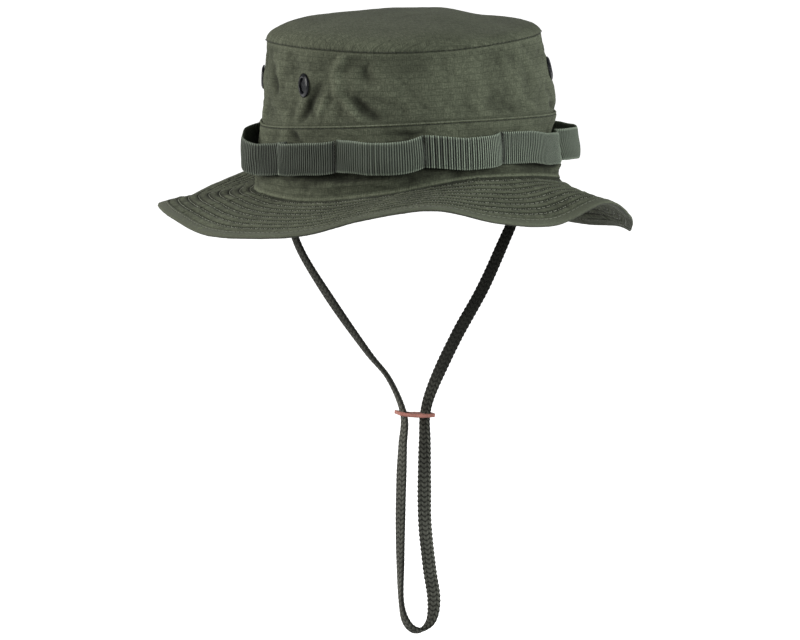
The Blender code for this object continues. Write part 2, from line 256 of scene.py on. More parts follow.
def crease(u, v, columns, seed):
    """Noise folded into facets with sharp valleys between them, about -0.3 to 0.7."""
    return np.abs(noise(u, v, columns, seed)) - 0.3


def crown_relief(azimuth, height):
    """How far the wrinkled wall of the crown stands out of its plain shape, in metres."""
    azimuth, height = np.broadcast_arrays(np.asarray(azimuth, float), np.asarray(height, float))
    h = height / MM
    above = h - band_seam(azimuth) / MM
    rim = top_seam(azimuth) / MM
    turns = azimuth / 360

    calm = 1 - 0.45 * bell(turn_between(azimuth, -12), 24) * bell(h - 70, 18)
    warp = 0.35 * noise(turns * 24, h / 15 + 4, 24, 7)
    relief = 0.70 * noise(turns * 12, h / 28 + 3, 12, 1) + 0.65 * noise(turns * 27 + warp, h / 16 + warp, 27, 2)
    relief += 1.9 * crease(turns * 20 + warp, h / 23 + 0.03 * azimuth + warp, 20, 3)
    relief -= 0.95 * crease(turns * 44 + warp, h / 12 - 0.02 * azimuth, 44, 8)
    relief += 0.45 * crease(turns * 100, h / 6 + warp * 2, 100, 9)
    relief *= calm
    relief += 1.6 * bell(h - 9, 9) * crease(turns * 26 + warp, h / 7 + warp, 26, 19)
    relief += 0.55 * bell(above - 1, 7) * noise(turns * 96, h / 30, 96, 4) * np.where(above > 0, 1, 0.5)
    relief += 0.30 * bell(rim - h, 8) * noise(turns * 120, h / 22, 120, 5)
    relief += 0.50 * noise(turns * 36, h / 2.7 + azimuth * 0.07, 36, 6) * bell(turn_between(azimuth, -80), 20)
    relief += 0.15 * noise(turns * 50, h / 2.4 - azimuth * 0.09, 50, 16) * bell(turn_between(azimuth, 52), 24)
    for from_azimuth, from_h, to_azimuth, to_h, width, rise in CROWN_FOLDS:
        x = np.radians(turn_between(azimuth, from_azimuth)) * BAND_RADIUS / MM
        y = h - from_h
        run = math.radians(to_azimuth - from_azimuth) * BAND_RADIUS / MM
        climb = to_h - from_h
        t = np.clip((x * run + y * climb) / (run**2 + climb**2), 0, 1)
        away = np.hypot(x - t * run, y - t * climb)
        relief += 2.1 * rise * (0.35 + 0.65 * np.sin(math.pi * t)) * bell(away, 0.85 * width)

    above_brim = h - junction(azimuth) / MM
    relief *= (1 - 0.8 * bell(above, 2.6)) * (1 - 0.9 * bell(rim - h, 3)) * (1 - 0.6 * bell(above_brim, 4))
    for vent in EYELET_AZIMUTHS:
        across, up = vent_distance(azimuth, height, vent)
        relief *= 1 - bell(np.hypot(across, up), 9.5)
    under_webbing = bell(h - around(WEBBING_MM, azimuth), 12)
    relief -= under_webbing * np.maximum(relief - 0.15, 0)
    return (relief + crown_lean(azimuth, height)) * MM


def wall_point(azimuth, height, lift=0.0):
    return polar(azimuth, crown_radius(height) + crown_relief(azimuth, height) + lift, height)


def smooth_path(points, count):
    """Evenly shared points on a smooth curve through the given ones; extra columns are carried along."""
    points = np.asarray(points, float)
    ends = np.vstack((2 * points[0] - points[1], points, 2 * points[-1] - points[-2]))
    a, b, c, d = (ends[k : len(ends) - 3 + k, None] for k in range(4))
    t = np.arange(24)[None, :, None] / 24
    fine = 0.5 * (2 * b + (c - a) * t + (2 * a - 5 * b + 4 * c - d) * t**2 + (3 * b - a - 3 * c + d) * t**3)
    fine = np.vstack((fine.reshape(-1, points.shape[1]), points[-1]))
    steps = np.hypot(*np.diff(fine[:, :2], axis=0).T)
    length = np.concatenate(([0], np.cumsum(steps)))
    goals = np.linspace(0, length[-1], count)
    return np.stack([np.interp(goals, length, column) for column in fine.T], -1)


# ---- Meshes


def new_object(name, data):
    made = bpy.data.objects.new(name, data)
    bpy.context.scene.collection.objects.link(made)
    return made


def there_and_back(outer, inner):
    """Closed sections that run along one face and back along the other."""
    return np.concatenate((outer, inner[:, ::-1]), axis=1)


def run_lengths(points):
    """The distance along a line of points to each of them."""
    return np.concatenate(([0], np.cumsum(np.linalg.norm(np.diff(points, axis=0), axis=1))))


def grid_chart(columns_m, rows_m):
    """Cloth coordinates on an even grid: the distances along a piece, and across it."""
    return np.stack(np.meshgrid(columns_m, rows_m, indexing="ij"), -1)


def unrolled(columns_m, rings):
    """Cloth coordinates for rings: the distances given along the piece, and those round a typical ring."""
    typical = rings.mean(axis=0) if len(rings) < 8 else rings[len(rings) // 3]
    return grid_chart(columns_m, run_lengths(np.vstack((typical, typical[:1]))))


def loft(name, rings, chart, closed=True, shade_and_wear=0.5):
    """A mesh of closed bodies. rings is (columns, points, 3), or (bodies, columns, points, 3), and chart gives
    cloth coordinates for one more point than a ring has, and for one more column where the columns close into a
    loop. For each point a value from 0 to 1 sets how its cloth is painted: 0 is painted shade in a groove, 1 is
    painted light on a crest, which on the crown's folds also stands for fading."""
    rings = np.asarray(rings, float)
    if rings.ndim == 3:
        rings = rings[None]
    bodies, columns, rows = rings.shape[:3]
    across = columns if closed else columns - 1
    column, row = np.indices((across, rows)).reshape(2, -1, 1)
    corner_columns, corner_rows = column + np.array([[0, 1, 1, 0]]), row + np.array([[0, 0, 1, 1]])
    if not closed:
        half = np.arange(rows // 2 - 1)[:, None]
        near = np.hstack((half, half + 1, rows - 2 - half, rows - 1 - half))
        corner_columns = np.vstack((corner_columns, np.zeros_like(near), np.full_like(near, columns - 1)))
        corner_rows = np.vstack((corner_rows, near, near[:, [1, 0, 3, 2]]))
    corners = (corner_columns % columns) * rows + corner_rows % rows
    body_starts = np.arange(bodies)[:, None, None] * columns * rows
    faces = (corners[None] + body_starts).reshape(-1, 4)
    uv = np.broadcast_to(chart[corner_columns, corner_rows], (bodies, len(corners), 4, 2)).reshape(-1, 4, 2)

    points = rings.reshape(-1, 3)
    a, b, c, d = (points[faces[:, k]] for k in range(4))
    if np.einsum("ij,ij->", a, np.cross(b, c)) + np.einsum("ij,ij->", a, np.cross(c, d)) < 0:
        faces, uv = faces[:, ::-1], uv[:, ::-1]
    mesh = bpy.data.meshes.new(name)
    mesh.vertices.add(len(points))
    mesh.vertices.foreach_set("co", points.ravel())
    mesh.loops.add(faces.size)
    mesh.loops.foreach_set("vertex_index", faces.ravel().astype(np.int32))
    mesh.polygons.add(len(faces))
    mesh.polygons.foreach_set("loop_start", np.arange(0, faces.size, 4, dtype=np.int32))
    mesh.uv_layers.new(name="cloth").data.foreach_set("uv", uv.ravel())
    # Painted light and shade, from 0 to 1, kept on each point.
    proud = np.broadcast_to(np.clip(shade_and_wear, 0, 1), rings.shape[:3])
    mesh.attributes.new("shade_and_wear", "FLOAT", "POINT").data.foreach_set("value", proud.ravel().astype(np.float32))
    mesh.update(calc_edges=True)
    mesh.shade_smooth()
    return mesh


def add_piece(name, mesh, look, node=None, body="hat"):
    piece = new_object(name, mesh)
    mesh.materials.append(look)
    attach(piece, body)
    if node:
        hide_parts(node)
    return piece


def straight_cutter(name, x, y, reach):
    """A body with this outline from -reach to reach along Z, to cut a hole with."""
    rings = [np.stack((x, y, np.full(len(x), z)), -1) for z in (-reach, reach)]
    return new_object(name, loft(name, rings, np.zeros((2, len(x) + 1, 2)), closed=False))


def with_holes(piece, cutters, solver):
    """The piece's mesh with the cutters' shapes taken out of it. The cutters are used up."""
    for cutter in cutters:
        cut = piece.modifiers.new("hole", "BOOLEAN")
        cut.operation, cut.solver, cut.object = "DIFFERENCE", solver, cutter
    mesh = bpy.data.meshes.new_from_object(piece.evaluated_get(bpy.context.evaluated_depsgraph_get()))
    piece.modifiers.clear()
    for cutter in cutters:
        bpy.data.objects.remove(cutter)
    return mesh


def stitch_rings(starts, ends, normals, thread, rise):
    """Small arched bodies of thread, one for each stitch from its start to its end."""
    along = ends - starts
    side = np.cross(normals, along)
    side /= np.linalg.norm(side, axis=1, keepdims=True)
    t = np.linspace(0, 1, 6)
    girth = np.sin(math.pi * (0.12 + 0.76 * t)) ** 0.7
    arch = rise * (np.sin(math.pi * t) * 1.3 - 0.45)
    turn = (np.arange(6) * TAU / 6 + 0.3)[:, None]
    centre = starts[:, None] + along[:, None] * t[:, None] + normals[:, None] * arch[:, None]
    spread = side[:, None, None] * np.cos(turn) + normals[:, None, None] * np.sin(turn)
    return centre[:, :, None] + thread / 2 * girth[:, None, None] * spread


# Rows of stitches: each stitch's length and the gap to the next (mm), its thread's width and its rise (m).
BAND_STITCHES = (2.2, 0.9, 0.00042, 0.00028)
TAPE_STITCHES = (2.2, 1.2, 0.00042, 0.00028)
QUILT_STITCHES = (2.1, 1.4, 0.00070, 0.00042)
BINDING_STITCHES = (2.4, 0.9, 0.00050, 0.00028)
TACK_THREAD = (0.0005, 0.0002)


def stitch_row(place, length, stitch_mm, gap_mm, thread, rise):
    """Stitches along a line: place(share) gives its points, and their normals, at shares of its length."""
    count = max(1, round(length / ((stitch_mm + gap_mm) * MM)))
    begin = np.arange(count) / count
    starts, normals = place(begin)
    ends, _ = place(begin + stitch_mm / (stitch_mm + gap_mm) / count)
    return stitch_rings(starts, ends, normals, thread, rise)


def add_stitches(name, rows, look):
    chart = grid_chart(np.arange(6) * 0.0005, np.arange(7) * 0.0002)
    add_piece(name, loft(name, np.concatenate(rows), chart, closed=False), look)


# ---- Materials


def tinted(colour, factor):
    return tuple(min(1.0, c * factor) for c in colour)


class Look:
    """A material under construction, with short calls to add its nodes."""

    def __init__(self, name, **fixed):
        self.data = bpy.data.materials.new(name)
        self.data.use_nodes = True
        self.tree = self.data.node_tree
        self.shader = self.tree.nodes["Principled BSDF"]
        for socket, value in fixed.items():
            self.shader.inputs[socket.replace("_", " ")].default_value = value
        self.place = self.node("ShaderNodeTexCoord").outputs["Object"]

    def node(self, kind, inputs=None, **settings):
        made = self.tree.nodes.new(kind)
        for setting, value in settings.items():
            setattr(made, setting, value)
        for socket, value in (inputs or {}).items():
            if isinstance(value, bpy.types.NodeSocket):
                self.tree.links.new(value, made.inputs[socket])
            else:
                made.inputs[socket].default_value = value
        return made

    def math(self, operation, *values):
        return self.node("ShaderNodeMath", dict(enumerate(values)), operation=operation).outputs[0]

    def cloth(self):
        """The piece's own cloth coordinates, in metres along it and across it."""
        place = self.node("ShaderNodeUVMap", uv_map="cloth").outputs["UV"]
        split = self.node("ShaderNodeSeparateXYZ", {0: place})
        return place, split.outputs["X"], split.outputs["Y"]

    def shade_and_wear(self):
        """The painted light and shade here, from 0, painted shade in a groove, to 1, painted light on a crest.
        """
        return self.node("ShaderNodeAttribute", attribute_name="shade_and_wear").outputs["Fac"]

    def lines(self, coordinate, pitch, width):
        """1 on even lines across the coordinate, easing to 0 at half their width."""
        away = self.math("PINGPONG", coordinate, pitch / 2)
        inputs = {"Value": away, "From Min": 0.0, "From Max": width / 2, "To Min": 1.0, "To Max": 0.0}
        return self.node("ShaderNodeMapRange", inputs, interpolation_type="SMOOTHSTEP").outputs[0]

    def wave(self, coordinate, pitch):
        """A smooth wave from 0 to 1 along the coordinate."""
        sine = self.math("SINE", self.math("MULTIPLY", coordinate, TAU / pitch))
        return self.math("MULTIPLY_ADD", sine, 0.5, 0.5)

    def grain(self, scale, detail=2.0, roughness=0.5, vector=None):
        vector = self.place if vector is None else vector
        inputs = {"Vector": vector, "Scale": scale, "Detail": detail, "Roughness": roughness}
        return self.node("ShaderNodeTexNoise", inputs).outputs["Fac"]

    def shades(self, factor, *stops):
        """Colours at values of the factor. A single number is a grey."""
        ramp = self.node("ShaderNodeValToRGB", {0: factor})
        elements = ramp.color_ramp.elements
        for _ in stops[2:]:
            elements.new(0.5)
        for element, (position, colour) in zip(elements, stops):
            element.position = position
            element.color = (*(colour if isinstance(colour, tuple) else (colour,) * 3), 1)
        return ramp.outputs[0]

    def mix(self, factor, low, high, blend="MIX"):
        low, high = ((*value, 1) if isinstance(value, tuple) else value for value in (low, high))
        inputs = {0: factor, 6: low, 7: high}
        return self.node("ShaderNodeMix", inputs, data_type="RGBA", blend_type=blend).outputs[2]

    def overlaid(self, base, fuzz, low, high, amount=0.6):
        """The base colour with greys laid over it, from a stop low in the fuzz to one high in it."""
        return self.mix(amount, base, self.shades(fuzz, low, high), "OVERLAY")

    def mottled(self, colour, fade, dark, light, fuzz):
        """The colour, from dark to light times itself as fade rises, with fuzz laid over it."""
        base = self.shades(fade, (0.3, tinted(colour, dark)), (0.7, tinted(colour, light)))
        return self.overlaid(base, fuzz, (0.3, 0.3), (0.7, 0.7))

    def shaded_and_worn(self, base, dark, light):
        """The base colour with painted shade in grooves and painted light on crests, by these factors; on the
        crown's folds the lighter crests also stand for fading.
        """
        shade = self.shades(self.shade_and_wear(), (0.0, dark), (0.5, 1.0), (1.0, light))
        return self.mix(1.0, base, shade, "MULTIPLY")

    def finish(self, colour, rough, low, high, *bumps):
        """Sets the colour, the roughness from low to high, and bumps on top of each other: pairs of a height
        socket, 0 to 1, and its depth in metres."""
        self.tree.links.new(colour, self.shader.inputs["Base Color"])
        ranged = self.node("ShaderNodeMapRange", {"Value": rough, "To Min": low, "To Max": high})
        self.tree.links.new(ranged.outputs[0], self.shader.inputs["Roughness"])
        normal = None
        for height, depth in bumps:
            inputs = {"Height": height, "Distance": depth, "Strength": 1.0}
            if normal:
                inputs["Normal"] = normal
            normal = self.node("ShaderNodeBump", inputs).outputs[0]
        self.tree.links.new(normal, self.shader.inputs["Normal"])
        return self.data


GRID_PITCH, GRID_LINE = 0.0042, 0.0009


def ripstop_look():
    """Plain-woven cloth with the grid of ripstop standing out of it and heathered, its folds painted darker in
    their hollows as painted shade and lighter on their crests as painted light and fading.
    """
    colour = (0.095, 0.104, 0.071)
    look = Look("ripstop", Sheen_Weight=0.03, Sheen_Roughness=0.5, Specular_IOR_Level=0.08)
    place, u, v = look.cloth()
    upright = look.math("MULTIPLY", look.lines(u, GRID_PITCH, GRID_LINE), 0.35)
    grid = look.math("MAXIMUM", upright, look.lines(v, GRID_PITCH, GRID_LINE))
    weave = look.math("MULTIPLY", look.wave(u, 0.00062), look.wave(v, 0.00062))
    heather = look.grain(1300, 3, 0.75)
    slubs = []
    for stretch in ((240, 2400, 1), (2400, 240, 1)):
        yarn = look.node("ShaderNodeVectorMath", {0: place, 1: stretch}, operation="MULTIPLY").outputs[0]
        slubs.append(look.math("MULTIPLY", look.grain(1, vector=yarn), 0.5))
    slub = look.math("ADD", *slubs)
    base = look.shades(look.grain(24, 4, 0.6), (0.32, tinted(colour, 0.82)), (0.70, tinted(colour, 1.16)))
    base = look.overlaid(base, heather, (0.30, 0.2), (0.72, 0.8))
    base = look.overlaid(base, slub, (0.38, 0.22), (0.62, 0.78))
    # The grid's lines painted darker, as painted shade along the threads that stand out.
    base = look.mix(look.math("MULTIPLY", grid, 0.42), base, tinted(colour, 0.45))
    bumps = (grid, 0.00009), (weave, 0.00008), (slub, 0.00012), (heather, 0.00008)
    return look.finish(look.shaded_and_worn(base, 0.40, 1.45), heather, 0.80, 0.95, *bumps)


def webbing_look():
    """Ribbed webbing: fine weft on modelled ribs, with painted shade between them and painted light on them,
    and painted highlights on the crests along its two edges.
    """
    colour = (0.073, 0.086, 0.066)
    look = Look("webbing", Sheen_Weight=0.10, Sheen_Roughness=0.4, Specular_IOR_Level=0.3)
    _, _, v = look.cloth()
    fuzz = look.grain(2200, 2, 0.7)
    base = look.shaded_and_worn(look.mottled(colour, look.grain(30, 3), 0.85, 1.15, fuzz), 0.0, 4.3)
    # Painted highlights on the crests of the two edges.
    edge = look.math("MULTIPLY", look.lines(v, WEBBING_HEIGHT, 0.0030), look.shade_and_wear())
    base = look.mix(edge, base, tinted(colour, 4.2))
    return look.finish(base, fuzz, 0.6, 0.85, (look.wave(v, 0.00042), 0.00007), (fuzz, 0.00007))


def tape_look(name, colour):
    """Twill tape: fine diagonal ribs, with painted shade in grooves and painted light on crests."""
    look = Look(name, Sheen_Weight=0.05, Sheen_Roughness=0.4, Specular_IOR_Level=0.15)
    _, u, v = look.cloth()
    twill = look.wave(look.math("ADD", u, v), 0.0007)
    fuzz = look.grain(1800, 2, 0.7)
    base = look.mottled(colour, look.grain(35, 3), 0.88, 1.12, fuzz)
    return look.finish(look.shaded_and_worn(base, 0.6, 1.3), fuzz, 0.75, 0.95, (twill, 0.00008), (fuzz, 0.00006))


def thread_look(name, colour):
    look = Look(name, Sheen_Weight=0.08, Sheen_Roughness=0.3, Specular_IOR_Level=0.25)
    fibre = look.grain(3500, 2, 0.6)
    base = look.shades(fibre, (0.3, tinted(colour, 0.7)), (0.7, tinted(colour, 1.3)))
    return look.finish(base, fibre, 0.45, 0.75, (fibre, 0.00005))


def braid_look():
    """Braided cotton cord, painted nearly black in its gaps as painted shade and lighter on its strands as
    painted light, with fine yarns along each strand.
    """
    colour = (0.033, 0.0335, 0.028)
    look = Look("braid", Sheen_Weight=0.04, Sheen_Roughness=0.4, Specular_IOR_Level=0.12)
    fuzz = look.grain(1600, 3, 0.7)
    base = look.shades(look.grain(60, 2), (0.3, tinted(colour, 0.8)), (0.7, tinted(colour, 1.25)))
    base = look.overlaid(base, fuzz, (0.25, 0.2), (0.75, 0.8), 0.8)
    return look.finish(look.shaded_and_worn(base, 0.05, 4.2), fuzz, 0.75, 0.95, (fuzz, 0.00012))


def enamel_look():
    """Black stove enamel on brass: glossy, with fine orange peel and a few rubbed specks."""
    look = Look("enamel", Specular_IOR_Level=0.14)
    peel = look.grain(700, 2)
    base = look.shades(look.grain(2600, 2, 0.7), (0.62, (0.005, 0.006, 0.008)), (0.78, 0.03))
    return look.finish(base, peel, 0.18, 0.32, (peel, 0.00004))


def screen_look():
    look = Look("vent_wire", Specular_IOR_Level=0.2)
    specks = look.grain(3000, 2)
    base = look.shades(specks, (0.4, (0.006, 0.007, 0.009)), (0.7, (0.020, 0.022, 0.026)))
    return look.finish(base, specks, 0.3, 0.55, (specks, 0.00003))


def leather_look():
    """Reddish split leather: pebbled grain and darker pores."""
    look = Look("leather", Specular_IOR_Level=0.4, Sheen_Weight=0.1)
    inputs = {"Vector": look.place, "Scale": 900.0}
    pebble = look.node("ShaderNodeTexVoronoi", inputs, feature="DISTANCE_TO_EDGE").outputs[0]
    pores = look.grain(2400, 3, 0.7)
    base = look.mottled((0.40, 0.150, 0.115), look.grain(130, 3), 0.72, 1.25, pores)
    return look.finish(base, pores, 0.5, 0.8, (pebble, 0.0002), (pores, 0.0001))


def label_look():
    look = Look("label_satin", Sheen_Weight=0.2, Specular_IOR_Level=0.4)
    _, u, v = look.cloth()
    satin = look.math("MULTIPLY", look.wave(u, 0.0004), look.wave(v, 0.0008))
    soil = look.grain(90, 3)
    base = look.shades(soil, (0.3, (0.46, 0.47, 0.41)), (0.7, (0.60, 0.61, 0.55)))
    return look.finish(base, soil, 0.5, 0.75, (satin, 0.00005))


# ---- The view: camera, light and floor

CAMERA_AZIMUTH, CAMERA_ELEVATION, CAMERA_ROLL = -21.0, 8.3, 2.0
CAMERA_DISTANCE = 3.0
CAMERA_LENS = 220.9
LOOK_AT = Vector((0, 0, -0.085))
AIM_LEFT, AIM_UP = 0.0069, 0.0019
FLOOR_HEIGHT, FLOOR_SIZE, FLOOR_GLOW = -0.42, 40, 0.9
WORLD_LIGHT = 0.24
# Each softbox: azimuth from the camera's, elevation, distance, size, power and colour.
SOFTBOXES = {
    "left softbox": (-88, 17, 2.2, 1.1, 48, (1.0, 0.99, 0.97)),
    "right softbox": (55, 16, 2.2, 1.1, 43, (0.96, 1.0, 0.99)),
    "top softbox": (20, 72, 2.0, 1.2, 2, (1.0, 1.0, 1.0)),
}


def direction(azimuth, elevation):
    turn, rise = math.radians(azimuth), math.radians(elevation)
    return Vector((math.sin(turn) * math.cos(rise), -math.cos(turn) * math.cos(rise), math.sin(rise)))


def place_camera():
    back = direction(CAMERA_AZIMUTH, CAMERA_ELEVATION)
    level = Vector((0, 0, 1)).cross(back).normalized()
    upright = back.cross(level)
    roll = math.radians(CAMERA_ROLL)
    right = level * math.cos(roll) - upright * math.sin(roll)
    up = level * math.sin(roll) + upright * math.cos(roll)
    data = bpy.data.cameras.new("camera")
    data.lens = CAMERA_LENS
    camera = new_object("camera", data)
    place = LOOK_AT + back * CAMERA_DISTANCE - right * AIM_LEFT + up * AIM_UP
    camera.matrix_world = Matrix.Translation(place) @ Matrix((right, up, back)).transposed().to_4x4()
    bpy.context.scene.camera = camera


def build_studio():
    world = bpy.data.worlds.new("studio")
    bpy.context.scene.world = world
    world.use_nodes = True
    background = world.node_tree.nodes["Background"]
    background.inputs[0].default_value = (1, 1, 1, 1)
    background.inputs[1].default_value = WORLD_LIGHT
    bpy.context.scene.view_settings.view_transform = "Standard"
    for name, (azimuth, elevation, distance, size, power, colour) in SOFTBOXES.items():
        away = direction(CAMERA_AZIMUTH + azimuth, elevation)
        data = bpy.data.lights.new(name, "AREA")
        data.size, data.energy, data.color = size, power, colour
        light = new_object(name, data)
        light.location = away * distance
        light.rotation_euler = away.to_track_quat("Z", "Y").to_euler()

    look = Look("studio_paper", Roughness=0.95, Specular_IOR_Level=0.1)
    paper = look.shades(look.grain(40, 3), (0.3, 0.93), (0.7, 0.96))
    look.tree.links.new(paper, look.shader.inputs["Base Color"])
    look.shader.inputs["Emission Color"].default_value = (1, 1, 1, 1)
    look.shader.inputs["Emission Strength"].default_value = FLOOR_GLOW
    mesh = bpy.data.meshes.new("studio_floor")
    corners = [(x * FLOOR_SIZE / 2, y * FLOOR_SIZE / 2, 0) for x, y in ((-1, -1), (1, -1), (1, 1), (-1, 1))]
    mesh.from_pydata(corners, [], [(0, 1, 2, 3)])
    mesh.materials.append(look.data)
    floor = new_object("studio_floor", mesh)
    floor.location.z = FLOOR_HEIGHT
    floor.visible_diffuse = False


# ---- The chin strap and its keeper

BRAID_PITCH = 0.0030
BRAID_COLUMNS = 4
BRAID_DEPTH = 0.00062
SLIT_OFFSET, SLIT_HALF_WIDTH, SLIT_HALF_LENGTH = 0.0071, 0.0027, 0.0050
SLIDER_CORNER = 0.0022


def build_strap(braid):
    count, girth = 1360, 56
    route = smooth_path(STRAP_ROUTE_MM, count)
    centre = np.stack((route[:, 0] * MM, np.zeros(count), route[:, 1] * MM), -1)
    length = run_lengths(centre)
    along = np.gradient(centre, axis=0)
    along /= np.linalg.norm(along, axis=1, keepdims=True)
    twist = np.radians(route[:, 2])[:, None]
    depthwise = np.array([[0.0, 1.0, 0.0]])
    broad = np.cos(twist) * np.cross(along, depthwise) + np.sin(twist) * depthwise
    thin = np.cross(along, broad)

    turn = (np.arange(girth) + 0.5) * TAU / girth
    flat = squared_off(np.cos(turn), 0.8)
    face = squared_off(np.sin(turn), 0.7)
    s = length[:, None]
    lane = (flat[None, :] + 1) / 2 * BRAID_COLUMNS
    in_lane = (lane % 1 - 0.5) * 2
    slant = np.where(np.floor(lane) % 2 == 0, 1.0, -1.0)
    plait = s / BRAID_PITCH + 0.32 * slant * in_lane
    strand = np.sqrt(np.clip(1 - (2 * (plait % 1) - 1) ** 2, 0, 1))
    strand = strand * np.sqrt(np.clip(1 - in_lane**2, 0, 1)) ** 0.6
    # Painted shadow: the braid is painted darker near its +X anchor, where the hat shades it, and a little
    # darker past 0.43 m along it.
    painted_shade_factor = 1 - 0.66 * ease((0.180 - s) / 0.075) - 0.22 * ease((s - 0.43) / 0.06)
    edge_bumps = 0.00022 * np.cos(TAU * s / BRAID_PITCH) * np.abs(flat)[None, :] ** 6
    half_width = STRAP_WIDTH / 2 - 0.0004 + edge_bumps + 0.00015 * noise(s / 0.02, 0 * s, 64, 31)
    half_thick = STRAP_THICKNESS / 2 - 0.0003 + BRAID_DEPTH * (strand - 0.75)
    rings = centre[:, None] + broad[:, None] * (flat * half_width)[..., None]
    rings = rings + thin[:, None] * (face * half_thick)[..., None]
    # The strands painted light and the gaps between them painted as shade, dimmed by the painted shadow.
    mesh = loft("chin_strap_braid", rings, unrolled(length, rings), closed=False, shade_and_wear=strand * painted_shade_factor)
    strap = add_piece("chin_strap_braid", mesh, braid, "chin_strap", "strap")


def build_slider(leather):
    """A strip of leather with two round-ended slits, a little bowed, with soft edges."""
    half_x, half_y, half_z = (size / 2 for size in SLIDER_SIZE)
    x = np.linspace(-half_x, half_x, 132)
    px, py = np.meshgrid(x, np.linspace(-half_y, half_y, 66), indexing="ij")
    flat_x, flat_y = half_x - SLIDER_CORNER, half_y - SLIDER_CORNER
    over_x, over_y = np.abs(px) - flat_x, np.abs(py) - flat_y
    in_corner = (over_x > 0) & (over_y > 0)
    far = np.hypot(over_x, over_y)
    pull = np.where(in_corner & (far > SLIDER_CORNER), SLIDER_CORNER / np.maximum(far, 1e-9), 1.0)
    px = np.where(in_corner, np.sign(px) * (flat_x + over_x * pull), px)
    py = np.where(in_corner, np.sign(py) * (flat_y + over_y * pull), py)
    to_edge = np.minimum(half_x - np.abs(px), half_y - np.abs(py))
    thick = (half_z - 0.0003) * np.sqrt(np.clip(1 - (1 - np.clip(to_edge / 0.0011, 0, 1)) ** 2.4, 0.02, 1))
    level = 0.0009 * (px / half_x) ** 2 - 0.0003 + 0.00012 * noise(px / 0.003 + 8, py / 0.003 + 8, 64, 41)
    rings = there_and_back(*(np.stack((px, py, level + lift), -1) for lift in (thick, -thick)))
    plate = new_object("slider_plate", loft("slider_plate", rings, unrolled(x, rings), closed=False))
    turn = np.arange(40) * TAU / 40
    slit_y = SLIT_HALF_LENGTH * squared_off(np.sin(turn), 0.8)
    slit_x = SLIT_HALF_WIDTH * np.cos(turn)
    slits = [straight_cutter("slit", offset + slit_x, slit_y, 0.01) for offset in (-SLIT_OFFSET, SLIT_OFFSET)]
    mesh = with_holes(plate, slits, "EXACT")
    bpy.data.objects.remove(plate)
    mesh.transform(Matrix.Translation(SLIDER_CENTRE) @ Matrix.Rotation(math.radians(SLIDER_TILT), 4, "Y"))
    mesh.materials.clear()
    mesh.set_sharp_from_angle(angle=math.radians(55))
    add_piece("strap_slider_leather", mesh, leather, "strap_slider", "slider")


# ---- The crown

FOLD_STEPS_MM = (9, 8, 7, 6, 5, 4.2, 3.6, 3.1, 2.8, 2.5, 2.3, 2.1, 1.9, 1.7, 1.4, 1.1, 0.8, 0.5, 0.25, 0.08, 0)
SEAM_STITCH_MM = 1.35
TOP_ROW_MM = 84.75
# How strongly the crown's folds are painted as light and shade.
FOLD_CONTRAST = 0.24
BAND_FOLD = 0.65
VENT_HOLE = 0.0049
WALL_COLUMNS, DOME_COLUMNS = 720, 560


def crown_shell(
    node, heights, outer_lift, inner_lift, look,
    suffix="cloth", columns=WALL_COLUMNS, span=None, seam_shading=None,
):  # fmt: skip
    """A wall piece between an outer and an inner face, at rows of heights(azimuth), its folds painted as light
    and shade. The seam shading says how much lighter or darker than its folds the cloth is painted at its
    seams, as painted light on their ridges and painted shade in their lines."""
    ends = span or (0, 360)
    azimuth = np.linspace(*ends, columns, endpoint=span is not None)[:, None]
    grid = heights(azimuth)
    # The folds painted as light and shade: darker in their hollows, lighter on their crests.
    folds = 0.5 + FOLD_CONTRAST * (crown_relief(azimuth, grid) / MM - crown_lean(azimuth, grid))
    folds = folds + (seam_shading(azimuth, grid) if seam_shading else 0)
    faces = (wall_point(azimuth, grid, lift(azimuth, grid)) for lift in (outer_lift, inner_lift))
    rings = there_and_back(*faces)
    chart_azimuths = np.linspace(*ends, columns + (span is None))
    chart = unrolled(np.radians(chart_azimuths) * BAND_RADIUS, rings)
    name = f"{node}_{suffix}"
    mesh = loft(name, rings, chart, span is None, shade_and_wear=there_and_back(folds, folds))
    return add_piece(name, mesh, look, node)


def mm_below_band_seam(azimuth, height):
    return (band_seam(azimuth) - height) / MM


def mm_above_brim(azimuth, height):
    return (height - junction(azimuth)) / MM


def build_crown_side(fabric):
    shares = np.linspace(0, 1, 66)[None, :]

    def heights(azimuth):
        low, high = band_seam(azimuth) - 0.006, top_seam(azimuth) - 0.0002
        return low + (high - low) * shares

    def outer(azimuth, height):
        below_rim = (top_seam(azimuth) - height) / MM
        above_seam = -mm_below_band_seam(azimuth, height)
        tucked = -0.35 * bell(above_seam, 1.2) + 0.15 * bell(above_seam - 3.2, 2.2)
        return MM * np.where(above_seam < -1.5, -0.15, tucked - 0.35 * bell(below_rim, 0.9))

    def inner(azimuth, height):
        return outer(azimuth, height) - CLOTH * 0.85

    def seam_shading(azimuth, height):
        # Painted light on a line just below the top seam and painted shade at the seam, and painted shade just
        # above the band's seam.
        below_rim = (top_seam(azimuth) - height) / MM
        rim = 0.3 * bell(below_rim - 1.2, 0.7) - 0.5 * bell(below_rim, 0.7)
        return rim - 0.25 * bell(-mm_below_band_seam(azimuth, height) - 0.2, 0.6)

    side = crown_shell("crown_side", heights, outer, inner, fabric, seam_shading=seam_shading)
    turn = np.arange(64) * TAU / 64
    holes = []
    for azimuth in EYELET_AZIMUTHS:
        holes.append(straight_cutter("vent_hole", VENT_HOLE * np.cos(turn), VENT_HOLE * np.sin(turn), 0.006))
        holes[-1].data.transform(outward_frame(azimuth, EYELET_HEIGHT))
    side.data = with_holes(side, holes, "MANIFOLD")


def band_lift(below_mm):
    """How far the lower band's cloth lies out over the crown's side, in millimetres."""
    return 0.30 + BAND_FOLD * ease(1 - below_mm / 9)


